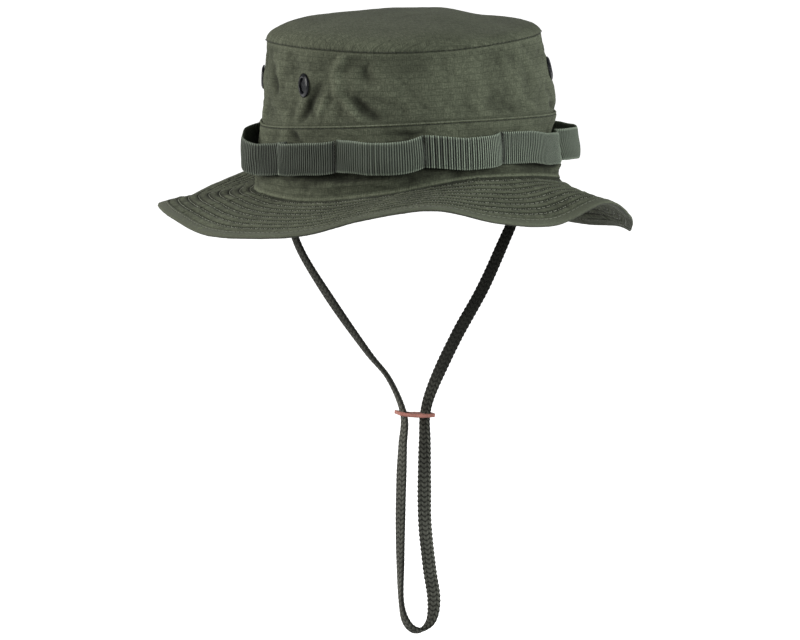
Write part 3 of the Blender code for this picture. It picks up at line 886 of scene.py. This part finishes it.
def band_fold_lift(azimuth, height):
    """The lower band's outer face, folded and stitched along its top edge."""
    below, above = mm_below_band_seam(azimuth, height), mm_above_brim(azimuth, height)
    ridge = 0.22 * bell(below - 0.5, 0.45) - 0.45 * bell(below - SEAM_STITCH_MM, 0.35)
    rounding = 0.75 * (1 - np.sqrt(np.clip(1 - (1 - np.clip(below / 0.55, 0, 1)) ** 2, 0, 1)))
    lip = 0.75 * bell(above, 1.5) - 0.25 * bell(above - 2.6, 1.0)
    return MM * (band_lift(below) + ridge - rounding + lip)


def build_lower_band(fabric):
    fold = np.asarray(FOLD_STEPS_MM) * MM
    shares = np.concatenate(([0, 0.006, 0.016, 0.03, 0.05, 0.075], np.linspace(0.1, 1, 30)[:-1]))[None, :]

    def heights(azimuth):
        low, high = junction(azimuth) - 0.0004, band_seam(azimuth) - fold[0]
        return np.concatenate((low + (high - low) * shares, band_seam(azimuth) - fold[None, :]), axis=1)

    def inner(azimuth, height):
        return MM * (band_lift(mm_below_band_seam(azimuth, height)) - 0.9)

    def seam_shading(azimuth, height):
        # Painted light on the band's folded edge and painted shade at its stitches, a painted highlight on the
        # lip over the brim with painted shadow at the brim, and painted shadow under the loops.
        below, above = mm_below_band_seam(azimuth, height), mm_above_brim(azimuth, height)
        loop_shadow = 0.42 * bell(height / MM - around(WEBBING_MM, azimuth) + 13, 5)
        seam = 0.7 * bell(below - 0.4, 0.4) - 0.7 * bell(below - SEAM_STITCH_MM, 0.35)
        return seam + 0.9 * bell(above - 1.1, 0.6) - 0.9 * bell(above, 0.5) - loop_shadow

    crown_shell("crown_lower_band", heights, band_fold_lift, inner, fabric, seam_shading=seam_shading)


# The top panel's outer face from its sewn rim to the centre: radius and rise over the seam.
DOME_MM = (
    (83.6, -0.6), (84.2, -0.3), (84.5, 0.25), (84.5, 1.1), (84.1, 2.3), (83.1, 3.9), (80.9, 6.2), (76.5, 8.6),
    (70, 10.4), (60, 12.3), (44, 14.1), (26, 15.2), (12, 15.5), (0.0, 15.55),
)  # fmt: skip


def dome_point(azimuth, radius_mm, rise_mm, lift_mm=0.0):
    share = radius_mm / (TOP_RADIUS / MM)
    level = TOP_HEIGHT / MM + (top_seam(azimuth) - TOP_HEIGHT) / MM * share
    x, y = radius_mm * np.sin(np.radians(azimuth)), radius_mm * np.cos(np.radians(azimuth))
    leftward = radius_mm * np.cos(np.radians(azimuth - SAG_AZIMUTH))
    rise_mm = rise_mm * (1 - 0.34 * ease((leftward - 20) / 34) - 0.14 * bell(leftward + 80, 9))
    waves = 0.6 * noise(x / 38 + 8, y / 38 + 8, 64, 11) + 0.20 * noise(x / 17 + 8, y / 17 + 8, 64, 12)
    waves += 0.30 * crease(x / 30 + 9, y / 30 + 9, 64, 15)
    waves += 0.08 * noise(x / 5 + 20, y / 5 + 20, 64, 13)
    puckers = 0.30 * noise(azimuth / 3.2, radius_mm / 14, 112, 14) * bell(radius_mm - 81, 7)
    settle = 1 - 0.9 * bell(radius_mm - 85, 6)
    radius = radius_mm - rim_tuck(azimuth) * share**3
    return polar(azimuth, radius * MM, (level + rise_mm + waves * settle + puckers + lift_mm) * MM)


def build_crown_top(fabric):
    radius, rise = smooth_path(DOME_MM, 110)[:-1].T
    azimuth = np.linspace(0, 360, DOME_COLUMNS, endpoint=False)[:, None]
    inner = dome_point(azimuth, np.maximum(radius - 0.85, 0.2), rise, -0.9)
    rings = there_and_back(dome_point(azimuth, radius, rise), inner)
    chart = np.pad(rings[..., :2], ((0, 1), (0, 1), (0, 0)), mode="wrap")
    # Painted shade in a line along the rim, at the top seam.
    shown = 0.5 - 0.12 * bell(rise + 0.2, 0.5)[None, :]
    mesh = loft("crown_top_cloth", rings, chart, shade_and_wear=there_and_back(shown, shown))
    add_piece("crown_top_cloth", mesh, fabric, "crown_top")


def wall_row(height_of, lift_of, facing=1.0):
    """For a row of stitches round the wall: points at shares of the turn, and their normals, which face
    outwards or, at -1, inwards."""

    def place(share):
        azimuth = share * 360
        height = height_of(azimuth)
        return wall_point(azimuth, height, lift_of(azimuth, height)), polar(azimuth, facing, 0.0)

    return place


def top_row(share):
    azimuth = share * 360
    return dome_point(azimuth, TOP_ROW_MM + 0 * azimuth, 0.15), polar(azimuth, 1.0, 0.0)


def build_crown_stitches(thread):
    proud = 0.00004
    seam_row = wall_row(lambda a: band_seam(a) - SEAM_STITCH_MM * MM, lambda a, h: band_fold_lift(a, h) + proud)
    seam_stitches = stitch_row(seam_row, TAU * BAND_RADIUS, *BAND_STITCHES)
    add_stitches("band_seam_stitches", [seam_stitches], thread)
    top_stitches = stitch_row(top_row, TAU * TOP_RADIUS, *TAPE_STITCHES)
    add_stitches("top_seam_stitches", [top_stitches], thread)


def zero(azimuth):
    return 0 * azimuth


def build_inside(tape, label_cloth, thread):
    """What is inside the opening: sweatband, seam tape, label and the strap's anchors, and their stitches."""
    rows = np.array([0, 0.01, 0.03, 0.06, 0.12, 0.25, 0.4, 0.55, 0.7, 0.82, 0.9, 0.94, 0.97, 0.99, 1])[None, :]
    edge_width = 0.0008
    # Each tape: its node and suffix, the height it is measured from, its two edges over that, how far its outer
    # face lies from the crown's and its thickness (all mm), its look and slot, and its columns and span.
    tapes = [
        ("sweatband", "tape", junction, -0.5, 30, -1.2, 0.9, tape, "lining_tape", 480, None),
        ("crown_seam_tape", "cloth", top_seam, -12, -3, -1.4, 0.6, tape, "lining_tape", 480, None),
        ("size_label", "cloth", zero, 8, 24, -2.6, 0.5, label_cloth, "size_label", 60, (170, 190)),
    ]
    for side, azimuth in (("left", 90), ("right", 270)):
        node, span = f"strap_anchor_{side}", (azimuth - 4.5, azimuth + 4.5)
        tapes.append((node, "tab", zero, 2, 14, -2.6, 1.2, tape, "lining_tape", 40, span))
    for node, suffix, base, low_mm, high_mm, lift_mm, thick_mm, look, slot, columns, span in tapes:

        def heights(azimuth):
            return base(azimuth) + (low_mm + (high_mm - low_mm) * rows) * MM

        def rounding(azimuth, height):
            over = height - base(azimuth)
            to_edge = np.minimum(over - low_mm * MM, high_mm * MM - over)
            return thick_mm * MM * 0.35 * (1 - ease(to_edge / edge_width))

        def outer(azimuth, height):
            return lift_mm * MM - rounding(azimuth, height)

        def inner(azimuth, height):
            return (lift_mm - thick_mm) * MM + rounding(azimuth, height)

        crown_shell(node, heights, outer, inner, look, suffix, columns, span)

    # Each row round the inside: the height it is measured from, how far over that, how deep, and its radius.
    stitched = (
        (junction, 2.5, -0.0021, 0.089), (junction, 27.5, -0.0021, 0.089),
        (top_seam, -10.5, -0.0020, 0.084), (top_seam, -4.5, -0.0020, 0.084),
    )  # fmt: skip
    stitches = []
    for base, over_mm, lift, radius in stitched:
        place = wall_row(lambda a: base(a) + over_mm * MM, lambda a, h: lift, -1.0)
        stitches.append(stitch_row(place, TAU * radius, *TAPE_STITCHES))
    stitches += [bar_tack(azimuth, up_mm * MM) for azimuth in (90, 270) for up_mm in (3.4, 4.6, 11.4, 12.6)]
    add_stitches("inside_stitches", stitches, thread)


def bar_tack(azimuth, height):
    """A short dense row of stitches across a strap anchor."""
    azimuths = azimuth + np.linspace(-3.9, 3.9, 8)
    starts = wall_point(azimuths, height - 0.0004, -0.0038)
    ends = wall_point(azimuths + 0.5, height + 0.0004, -0.0038)
    return stitch_rings(starts, ends, polar(azimuths, -1.0, 0.0), *TACK_THREAD)


# ---- The brim

ROW_PITCH = 0.0063
FIRST_ROW = 0.0024
ROW_COUNT = 8
QUILT_ROWS = FIRST_ROW + ROW_PITCH * np.arange(ROW_COUNT)
BINDING_START = 0.0525
BINDING_LEG = 0.00030
BINDING_ROW_RADIUS = 0.145
BRIM_COLUMNS, BINDING_COLUMNS = 470, 820
HALVES = {"front": (-89.9, 89.9), "rear": (90.1, 269.9)}
# Seeds of the puckers on the brim's upper and under faces.
FACE_SEEDS = {"upper": 51, "under": 61}


def brim_relief(azimuth, out, seed):
    """The soft quilting between rows of stitches, with small puckers, in metres."""
    channels = np.zeros(np.broadcast(azimuth, out).shape)
    for row in QUILT_ROWS:
        channels += bell(out - row, 0.00055) + 0.35 * bell(out - row, 0.0016)
    swell = 0.5 - 0.5 * np.cos(TAU * (out - FIRST_ROW) / ROW_PITCH)
    lane = np.floor((out - FIRST_ROW) / ROW_PITCH)
    puckers = noise(azimuth / 360 * 260, out / 0.012 + lane * 7, 260, seed)
    fine = noise(azimuth / 360 * 620, out / 0.0034, 620, seed + 1)
    broad = noise(azimuth / 360 * 30, out / 0.03, 30, seed + 2)
    relief = 0.24 * swell - 0.34 * channels + 0.45 * puckers * (0.4 + swell) + 0.22 * fine + 0.45 * broad
    seam = np.minimum(np.abs(turn_between(azimuth, 90)), np.abs(turn_between(azimuth, -90))) * 0.0022
    relief = relief - 0.55 * bell(seam, 0.0007) + 0.22 * bell(seam - 0.0022, 0.0012)
    return relief * MM


def brim_shade(out):
    """How much painted shade darkens the brim's cloth in its rows, at the crown's seam and beside the binding.
    """
    shade = 0.9 * bell(out, 0.0009) + 0.5 * bell(out - BINDING_START, 0.0007)
    return shade + sum(0.95 * bell(out - row, 0.0011) for row in QUILT_ROWS)


def edge_squeeze(out):
    """How far the plies are pressed together towards the bound edge."""
    return 0.0007 * ease((out - 0.050) / 0.006)


def brim_columns():
    """Distances from the crown of the brim's points, closer together at each row of stitches."""
    steps = np.array([0, 0.3, 0.6, 1.0, 1.7, 2.6]) * MM
    out = (QUILT_ROWS[:, None] + np.concatenate((-steps, steps))).ravel()
    beside_edge = np.array([50.5, 51.5, 52.5, 53.5, 55.0, 56.5, 57.8]) * MM
    return np.unique(np.round(np.concatenate(([-0.0012, -0.0004], out[out > 0.0001], beside_edge)), 5))


def build_brim(fabric, thread):
    out = brim_columns()
    for half, span in HALVES.items():
        azimuth = np.linspace(*span, BRIM_COLUMNS)[:, None]
        # How much deeper the painted shade in the rows is, most towards azimuth 30.
        painted_shade_factor = 0.95 + 0.55 * bell(turn_between(azimuth, 30), 30)
        for layer, seed in FACE_SEEDS.items():
            proud = brim_relief(azimuth, out, seed) - edge_squeeze(out)
            if layer == "upper":
                faces = proud, np.minimum(-0.00085, proud - 0.0003)
            else:
                faces = np.maximum(-0.00195, 0.0003 - BRIM_STACK - proud), -BRIM_STACK - proud
            rings = there_and_back(*(brim_point(azimuth, out / BRIM_WIDTH, face) for face in faces))
            chart = np.pad(rings[..., :2], ((0, 0), (0, 1), (0, 0)), mode="wrap")
            # Painted shade in the hollows of the quilting and painted light on its puckered crests, less
            # brim_shade's painted shade.
            shown = 0.60 + 0.6 * (proud + edge_squeeze(out)) / MM - brim_shade(out) * painted_shade_factor
            name = f"{layer}_brim_{half}"
            mesh = loft(f"{name}_cloth", rings, chart, closed=False, shade_and_wear=there_and_back(shown, shown))
            add_piece(f"{name}_cloth", mesh, fabric, name)

    rows = []
    for row, out in enumerate(QUILT_ROWS):
        for layer, seed in FACE_SEEDS.items():
            place = brim_row(out, layer, lambda a: brim_relief(a, out + 0 * a, seed) + 0.00008, row * 0.7)
            rows.append(stitch_row(place, TAU * (BASE_RADIUS + out), *QUILT_STITCHES))
    add_stitches("brim_stitches", rows, thread)


def brim_row(out, layer, lift_of, start=0.0):
    """For a row of stitches on a face of the brim: points and normals at shares of the turn."""
    under = layer == "under"

    def place(share):
        azimuth = share * 360 + start
        lift = -BRIM_STACK - lift_of(azimuth) if under else lift_of(azimuth)
        point, aside, outward = (
            brim_point(azimuth + turn, (out + step) / BRIM_WIDTH + 0 * azimuth, lift)
            for turn, step in ((0, 0), (0.1, 0), (0, 0.0002))
        )
        normal = np.cross(aside - point, outward - point)
        normal /= np.linalg.norm(normal, axis=-1, keepdims=True)
        return point, -normal if under else normal

    return place


def build_binding(tape, thread):
    """The folded tape round the edge: a flat leg on each face and a full round between them."""
    start = BINDING_START - BRIM_WIDTH
    stitch_out = start + 0.0012
    top, bottom = BINDING_LEG, -BRIM_STACK - BINDING_LEG
    middle, half = (top + bottom) / 2, (top - bottom) / 2
    # The upper leg: distances out from its start, and its lifts over the leg's face, dented by the stitches.
    leg_mm = (
        (0.3, -0.40), (0, -0.22), (0.1, -0.12), (0.5, 0), (0.9, -0.04), (1.2, -0.2), (1.5, -0.04), (2.0, 0),
        (3.2, 0.1),
    )  # fmt: skip
    leg = [(start + out * MM, top + lift * MM) for out, lift in leg_mm] + [(-0.0008, top + 0.00002)]
    turns = np.radians(np.linspace(80, -80, 11))
    section = leg + [(0.0002 + 0.0012 * math.cos(t), middle + half * math.sin(t)) for t in turns]
    section += [(out, 2 * middle - lift) for out, lift in reversed(leg)]
    section += [(-0.0015, bottom + 0.0007), (-0.0002, middle - 0.0008), (-0.0002, middle + 0.0008)]
    out, lift = np.array(section).T[:, None]
    azimuth = np.linspace(0, 360, BINDING_COLUMNS, endpoint=False)[:, None]
    turn = azimuth / 360
    ripple = 0.10 * noise(turn * 420, out / 0.004, 420, 71) + 0.14 * noise(turn * 90, out / 0.006, 90, 72)
    outside = np.sign(lift - middle) * (np.abs(lift - middle) > half - 0.0006)
    squeeze = edge_squeeze(BRIM_WIDTH + out)
    lifted = lift - np.sign(lift - middle) * squeeze * 0.8 + ripple * MM * outside
    rings = brim_point(azimuth, 1 + out / BRIM_WIDTH + 0.002 * noise(turn * 140, 0 * out, 140, 73), lifted)
    chart = unrolled(np.linspace(0, TAU, BINDING_COLUMNS + 1) * (BASE_RADIUS + BRIM_WIDTH), rings)
    # Painted shade at the row of stitches, lighter where the tape turns round the edge, and painted shade on
    # the under leg beside it.
    shown = 0.72 - 0.5 * bell(out - stitch_out, 0.0003) + 0.25 * bell(out, 0.001)
    shown = shown - 0.6 * bell(out - 0.0006, 0.0014) * (lift < middle)
    mesh = loft("brim_edge_binding_tape", rings, chart, shade_and_wear=shown)
    add_piece("brim_edge_binding_tape", mesh, tape, "brim_edge_binding")
    rows = []
    for layer in FACE_SEEDS:
        place = brim_row(BRIM_WIDTH + stitch_out, layer, zero)
        rows.append(stitch_row(place, TAU * BINDING_ROW_RADIUS, *BINDING_STITCHES))
    add_stitches("binding_stitches", rows, thread)


# ---- The band of loops

RIB_PITCH = 0.0015
RIB_DEPTH = 0.00060
RIB_COLUMNS = 8
# Where a loop is gathered into pleats: its index, middle, reach and pitch, and how deep they are, all in mm.
PLEATS = (
    (1, 27, 9, 3.4, 0.18),
    (2, 9, 12, 3.6, 0.25),
    (2, 24, 8, 3.2, 0.20),
    (3, 3, 4, 2.6, 0.30),
    (9, 62, 12, 3.0, 0.20),
)
# How strongly the ribs are painted, with painted shade between them and painted light on them, at a loop's
# first and last tack.
RIB_SHADING = {0: (0.8, 0.8), 1: (0.15, 0.75), 2: (1, 1), 3: (1.7, 1.0), 4: (0.1, 0.1), 9: (1.1, 1.1)}
# Loops painted darker than the rest, as painted shade, and how bright they are beside them.
LOOP_SHADE = {0: 0.73, 1: 0.93, 3: 0.90, 9: 0.62}


def wall_radius(azimuth, height):
    return crown_radius(height) + crown_lean(azimuth, height) * MM


def loop_path(index, share):
    """Azimuth, radius and middle height of a loop's outer face at shares of its turn, and how far it stands."""
    start, end, stand_mm, peak, drop_mm = BRANCH_LOOPS[index]
    power = math.log(0.5) / math.log(peak)
    azimuth = start + (end - start) * share
    swell = np.clip(np.sin(math.pi * np.clip(share, 0, 1) ** power), 0, 1) ** 0.8
    middle = around(WEBBING_MM, azimuth) * MM
    height = middle - drop_mm * MM * swell
    radius = wall_radius(azimuth, middle) + 0.0012 + WEBBING_PLY + stand_mm * MM * swell
    return azimuth, radius, height, swell


def build_loop(index, webbing):
    share = np.linspace(0.0, 1.0, 3000)
    first = index == 0
    azimuth, radius, height, swell = loop_path(index, share)
    plan = polar(azimuth, radius, height)
    if first:  # its start lies over the end of the last loop
        over = 0.0028 * (1 - ease(share / 0.5))
        plan = polar(azimuth - 2.6 * (1 - ease(share / 0.6)), radius + over, height - 0.0004)
    length = run_lengths(plan[:, :2])
    ribs = int(round(length[-1] / RIB_PITCH))
    s = np.linspace(0, length[-1], ribs * RIB_COLUMNS + 1)
    centre = np.stack([np.interp(s, length, axis) for axis in plan.T], -1)
    azimuth, swell = np.interp(s, length, azimuth), np.interp(s, length, swell)
    along = np.gradient(centre, axis=0)
    along[:, 2] = 0
    along /= np.linalg.norm(along, axis=1, keepdims=True)
    out = np.stack((along[:, 1], -along[:, 0], 0 * s), -1)

    v = np.concatenate(([0, 0.012, 0.03, 0.06], np.linspace(0.1, 0.9, 11), [0.94, 0.97, 0.988, 1]))
    from_middle = np.abs(2 * v - 1)
    rib = np.abs(np.sin(math.pi * s / (length[-1] / ribs)))[:, None] ** 0.8
    pleats = 0 * rib
    for loop, middle_mm, reach_mm, pitch_mm, deep_mm in PLEATS:
        if loop == index:
            waves = np.sin(TAU * s / (pitch_mm * MM)) * bell(s / MM - middle_mm, reach_mm)
            pleats += deep_mm * MM * waves[:, None]
    s = s[:, None]
    bend = 0.0010 * noise(s / 0.018 + index * 9, v * 1.4, 64, 80 + index) + pleats
    thick = np.sqrt(np.clip(1 - from_middle**10, 0.05, 1)) * (WEBBING_PLY / 2 + RIB_DEPTH * (rib - 0.6))
    scallop = 0.00034 * rib * np.sign(v - 0.5) * from_middle**24
    drift = 0.0006 * noise(s / 0.016 + index * 5, 0 * s, 64, 95)
    level = (v - 0.5) * WEBBING_HEIGHT + scallop + drift
    middle = centre[:, 2:]
    hug = wall_radius(azimuth[:, None], middle + level) - wall_radius(azimuth[:, None], middle)
    hug = polar(azimuth, 1.0, 0.0)[:, None] * (hug * (1 - 0.8 * swell[:, None]))[..., None]
    slant = (0.5 - v) * 0.0050 * bell(s, 0.006) * first
    faces = []
    for offset in (bend + thick, bend - thick):
        points = (centre - out * WEBBING_PLY / 2)[:, None] + out[:, None] * offset[..., None] + hug
        points += along[:, None] * slant[..., None]
        points[..., 2] += level
        faces.append(points)
    rib_shading = np.interp(s / s[-1], (0, 1), RIB_SHADING.get(index, (0.6, 0.6)))
    # Painted light on the ribs and pleats and painted shade between them.
    shown = 0.55 + (0.92 * rib**3.2 + 0.5 * pleats / 0.0005 - 0.55) * rib_shading
    shown = np.clip(shown, 0, 1) * LOOP_SHADE.get(index, 1.0)
    # Painted shade where a loop dips in at its last tack, and at its first, except the first loop, whose folded
    # start is painted light.
    shown = shown * (1 - 0.85 * bell(s - s[-1], 0.0026 if index == 9 else 0.0014))
    shown = np.maximum(shown, bell(s, 0.0011)) if first else shown * (1 - 0.85 * bell(s, 0.0011))
    chart = grid_chart(s[:, 0] + index * 0.03, np.concatenate((v, 2 - v[::-1], [2.0])) * WEBBING_HEIGHT)
    node = f"branch_loop_{index + 1:02d}"
    mesh = loft(f"{node}_webbing", there_and_back(*faces), chart, closed=False, shade_and_wear=shown)
    add_piece(f"{node}_webbing", mesh, webbing, node)


def build_loops(webbing, thread):
    for index in range(len(BRANCH_LOOPS)):
        build_loop(index, webbing)
    tacks = []
    for start, *_ in BRANCH_LOOPS[1:]:
        middle = float(around(WEBBING_MM, start)) * MM
        radius = float(wall_radius(start, middle)) + WEBBING_PLY + 0.0015
        heights = middle + np.linspace(-0.0088, 0.0088, 10)
        lean = np.where(np.arange(10) % 2 == 0, 0.45, -0.45)
        ends = (polar(start + side * lean, radius, heights + side * 0.0009) for side in (-1, 1))
        tacks.append(stitch_rings(*ends, polar(np.full(10, float(start)), 1.0, 0.0), *TACK_THREAD))
    add_stitches("loop_tack_stitches", tacks, thread)


# ---- The vents

# Closed profiles about the vent's axis: radius, and height over the crown's cloth.
FLANGE_MM = (
    (4.20, -3.0), (4.22, -0.2), (4.30, 0.45), (4.50, 0.95), (4.80, 1.28), (5.15, 1.42), (5.55, 1.40),
    (6.00, 1.24), (6.50, 1.02), (6.95, 0.78), (7.25, 0.52), (7.40, 0.25), (7.36, 0.02), (7.15, -0.10),
    (6.60, -0.05), (5.60, 0.05), (5.05, 0.00), (4.85, -0.30), (4.78, -2.4), (4.85, -3.0), (4.70, -3.15),
    (4.40, -3.15),
)  # fmt: skip
WASHER_MM = (
    (4.95, -1.75), (5.10, -1.62), (5.60, -1.58), (6.20, -1.62), (6.60, -1.75), (6.62, -1.95), (6.50, -2.15),
    (5.90, -2.45), (5.40, -2.62), (5.05, -2.66), (4.92, -2.50), (4.90, -2.0),
)  # fmt: skip
SCREEN_REACH, WIRE_PITCH, WIRE = 0.0041, 0.00062, 0.00044
SCREEN_DROP = 0.0002


def outward_frame(azimuth, height):
    """A matrix whose +Z runs square out of the leaning, sagging crown."""
    reach = 0.004
    aside = math.degrees(reach / BAND_RADIUS)
    azimuths = azimuth + aside * np.array([0, -1, 1, 0, 0])
    heights = height + reach * np.array([0, 0, 0, -1, 1])
    points = polar(azimuths, wall_radius(azimuths, heights), heights)
    centre, left, right, low, high = (Vector(point) for point in points)
    out = (right - left).cross(high - low).normalized()
    across = Vector((0, 0, 1)).cross(out).normalized()
    return Matrix.Translation(centre) @ Matrix((across, out.cross(across), out)).transposed().to_4x4()


def turned_mesh(name, profile_mm, steps=80):
    """A piece turned about +Z from a closed profile of radius and height."""
    radius, height = (np.asarray(profile_mm, float) * MM).T
    turn = (np.arange(steps) * TAU / steps)[:, None]
    rings = np.stack((np.cos(turn) * radius, np.sin(turn) * radius, height + 0 * turn), -1)
    return loft(name, rings, unrolled(np.linspace(0, TAU, steps + 1) * 0.006, rings))


def woven_screen(name):
    """Fine wires, over and under each other, out to the barrel."""
    wires = []
    turn = (np.arange(6) * TAU / 6)[:, None]
    for lane in np.arange(-6, 7):
        off = lane * WIRE_PITCH
        run = np.linspace(-1, 1, 60) * math.sqrt(SCREEN_REACH**2 - off**2)
        weave = 0.00009 * np.cos(math.pi * run / WIRE_PITCH + math.pi * (lane % 2))
        for axes, over in (([0, 1, 2], 1), ([1, 0, 2], -1)):
            centre = np.stack((run, np.full(60, off), over * weave), -1)[:, None, axes]
            spread = np.array([0.0, 1.0, 0.0])[axes] * np.cos(turn) + np.array([0.0, 0.0, 1.0]) * np.sin(turn)
            wires.append(centre + spread * WIRE / 2)
    chart = grid_chart(np.arange(60) * 0.0002, np.arange(7) * 0.0001)
    return loft(name, np.stack(wires), chart, closed=False)


def build_eyelets(enamel, wire):
    for index, azimuth in enumerate(EYELET_AZIMUTHS):
        eyelet = f"eyelet_{index + 1}"
        place = outward_frame(azimuth, EYELET_HEIGHT)
        screen = woven_screen(f"{eyelet}_screen_wire")
        screen.transform(Matrix.Translation((0, 0, -SCREEN_DROP)))
        for part, mesh, look, slot in (
            ("flange", turned_mesh(f"{eyelet}_flange_enamel", FLANGE_MM), enamel, "vent_metal"),
            ("washer", turned_mesh(f"{eyelet}_washer_enamel", WASHER_MM), enamel, "vent_metal"),
            ("screen", screen, wire, "vent_screen"),
        ):
            mesh.transform(place)
            add_piece(mesh.name, mesh, look, f"{eyelet}_{part}")


# ---- The whole hat


def main():
    place_camera()
    build_studio()
    build_slider(leather_look())
    build_strap(braid_look())

    fabric = ripstop_look()
    tape = tape_look("twill_tape", (0.080, 0.086, 0.060))
    binding = tape_look("binding_tape", (0.090, 0.098, 0.069))
    # The light thread: lighter than the cloth, partly its own colour and partly painted sheen where the light
    # catches it.
    thread = thread_look("thread", (0.32, 0.335, 0.26))
    binding_thread = thread_look("binding_thread", (0.19, 0.20, 0.15))
    dark_thread = thread_look("dark_thread", (0.035, 0.038, 0.028))

    build_crown_side(fabric)
    build_lower_band(fabric)
    build_crown_top(fabric)
    build_crown_stitches(dark_thread)
    build_inside(tape, label_look(), thread)
    build_brim(fabric, thread)
    build_binding(binding, binding_thread)
    build_loops(webbing_look(), dark_thread)
    build_eyelets(enamel_look(), screen_look())
    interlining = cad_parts["brim_interlining"].data.materials
    interlining.clear()
    interlining.append(tape)


main()
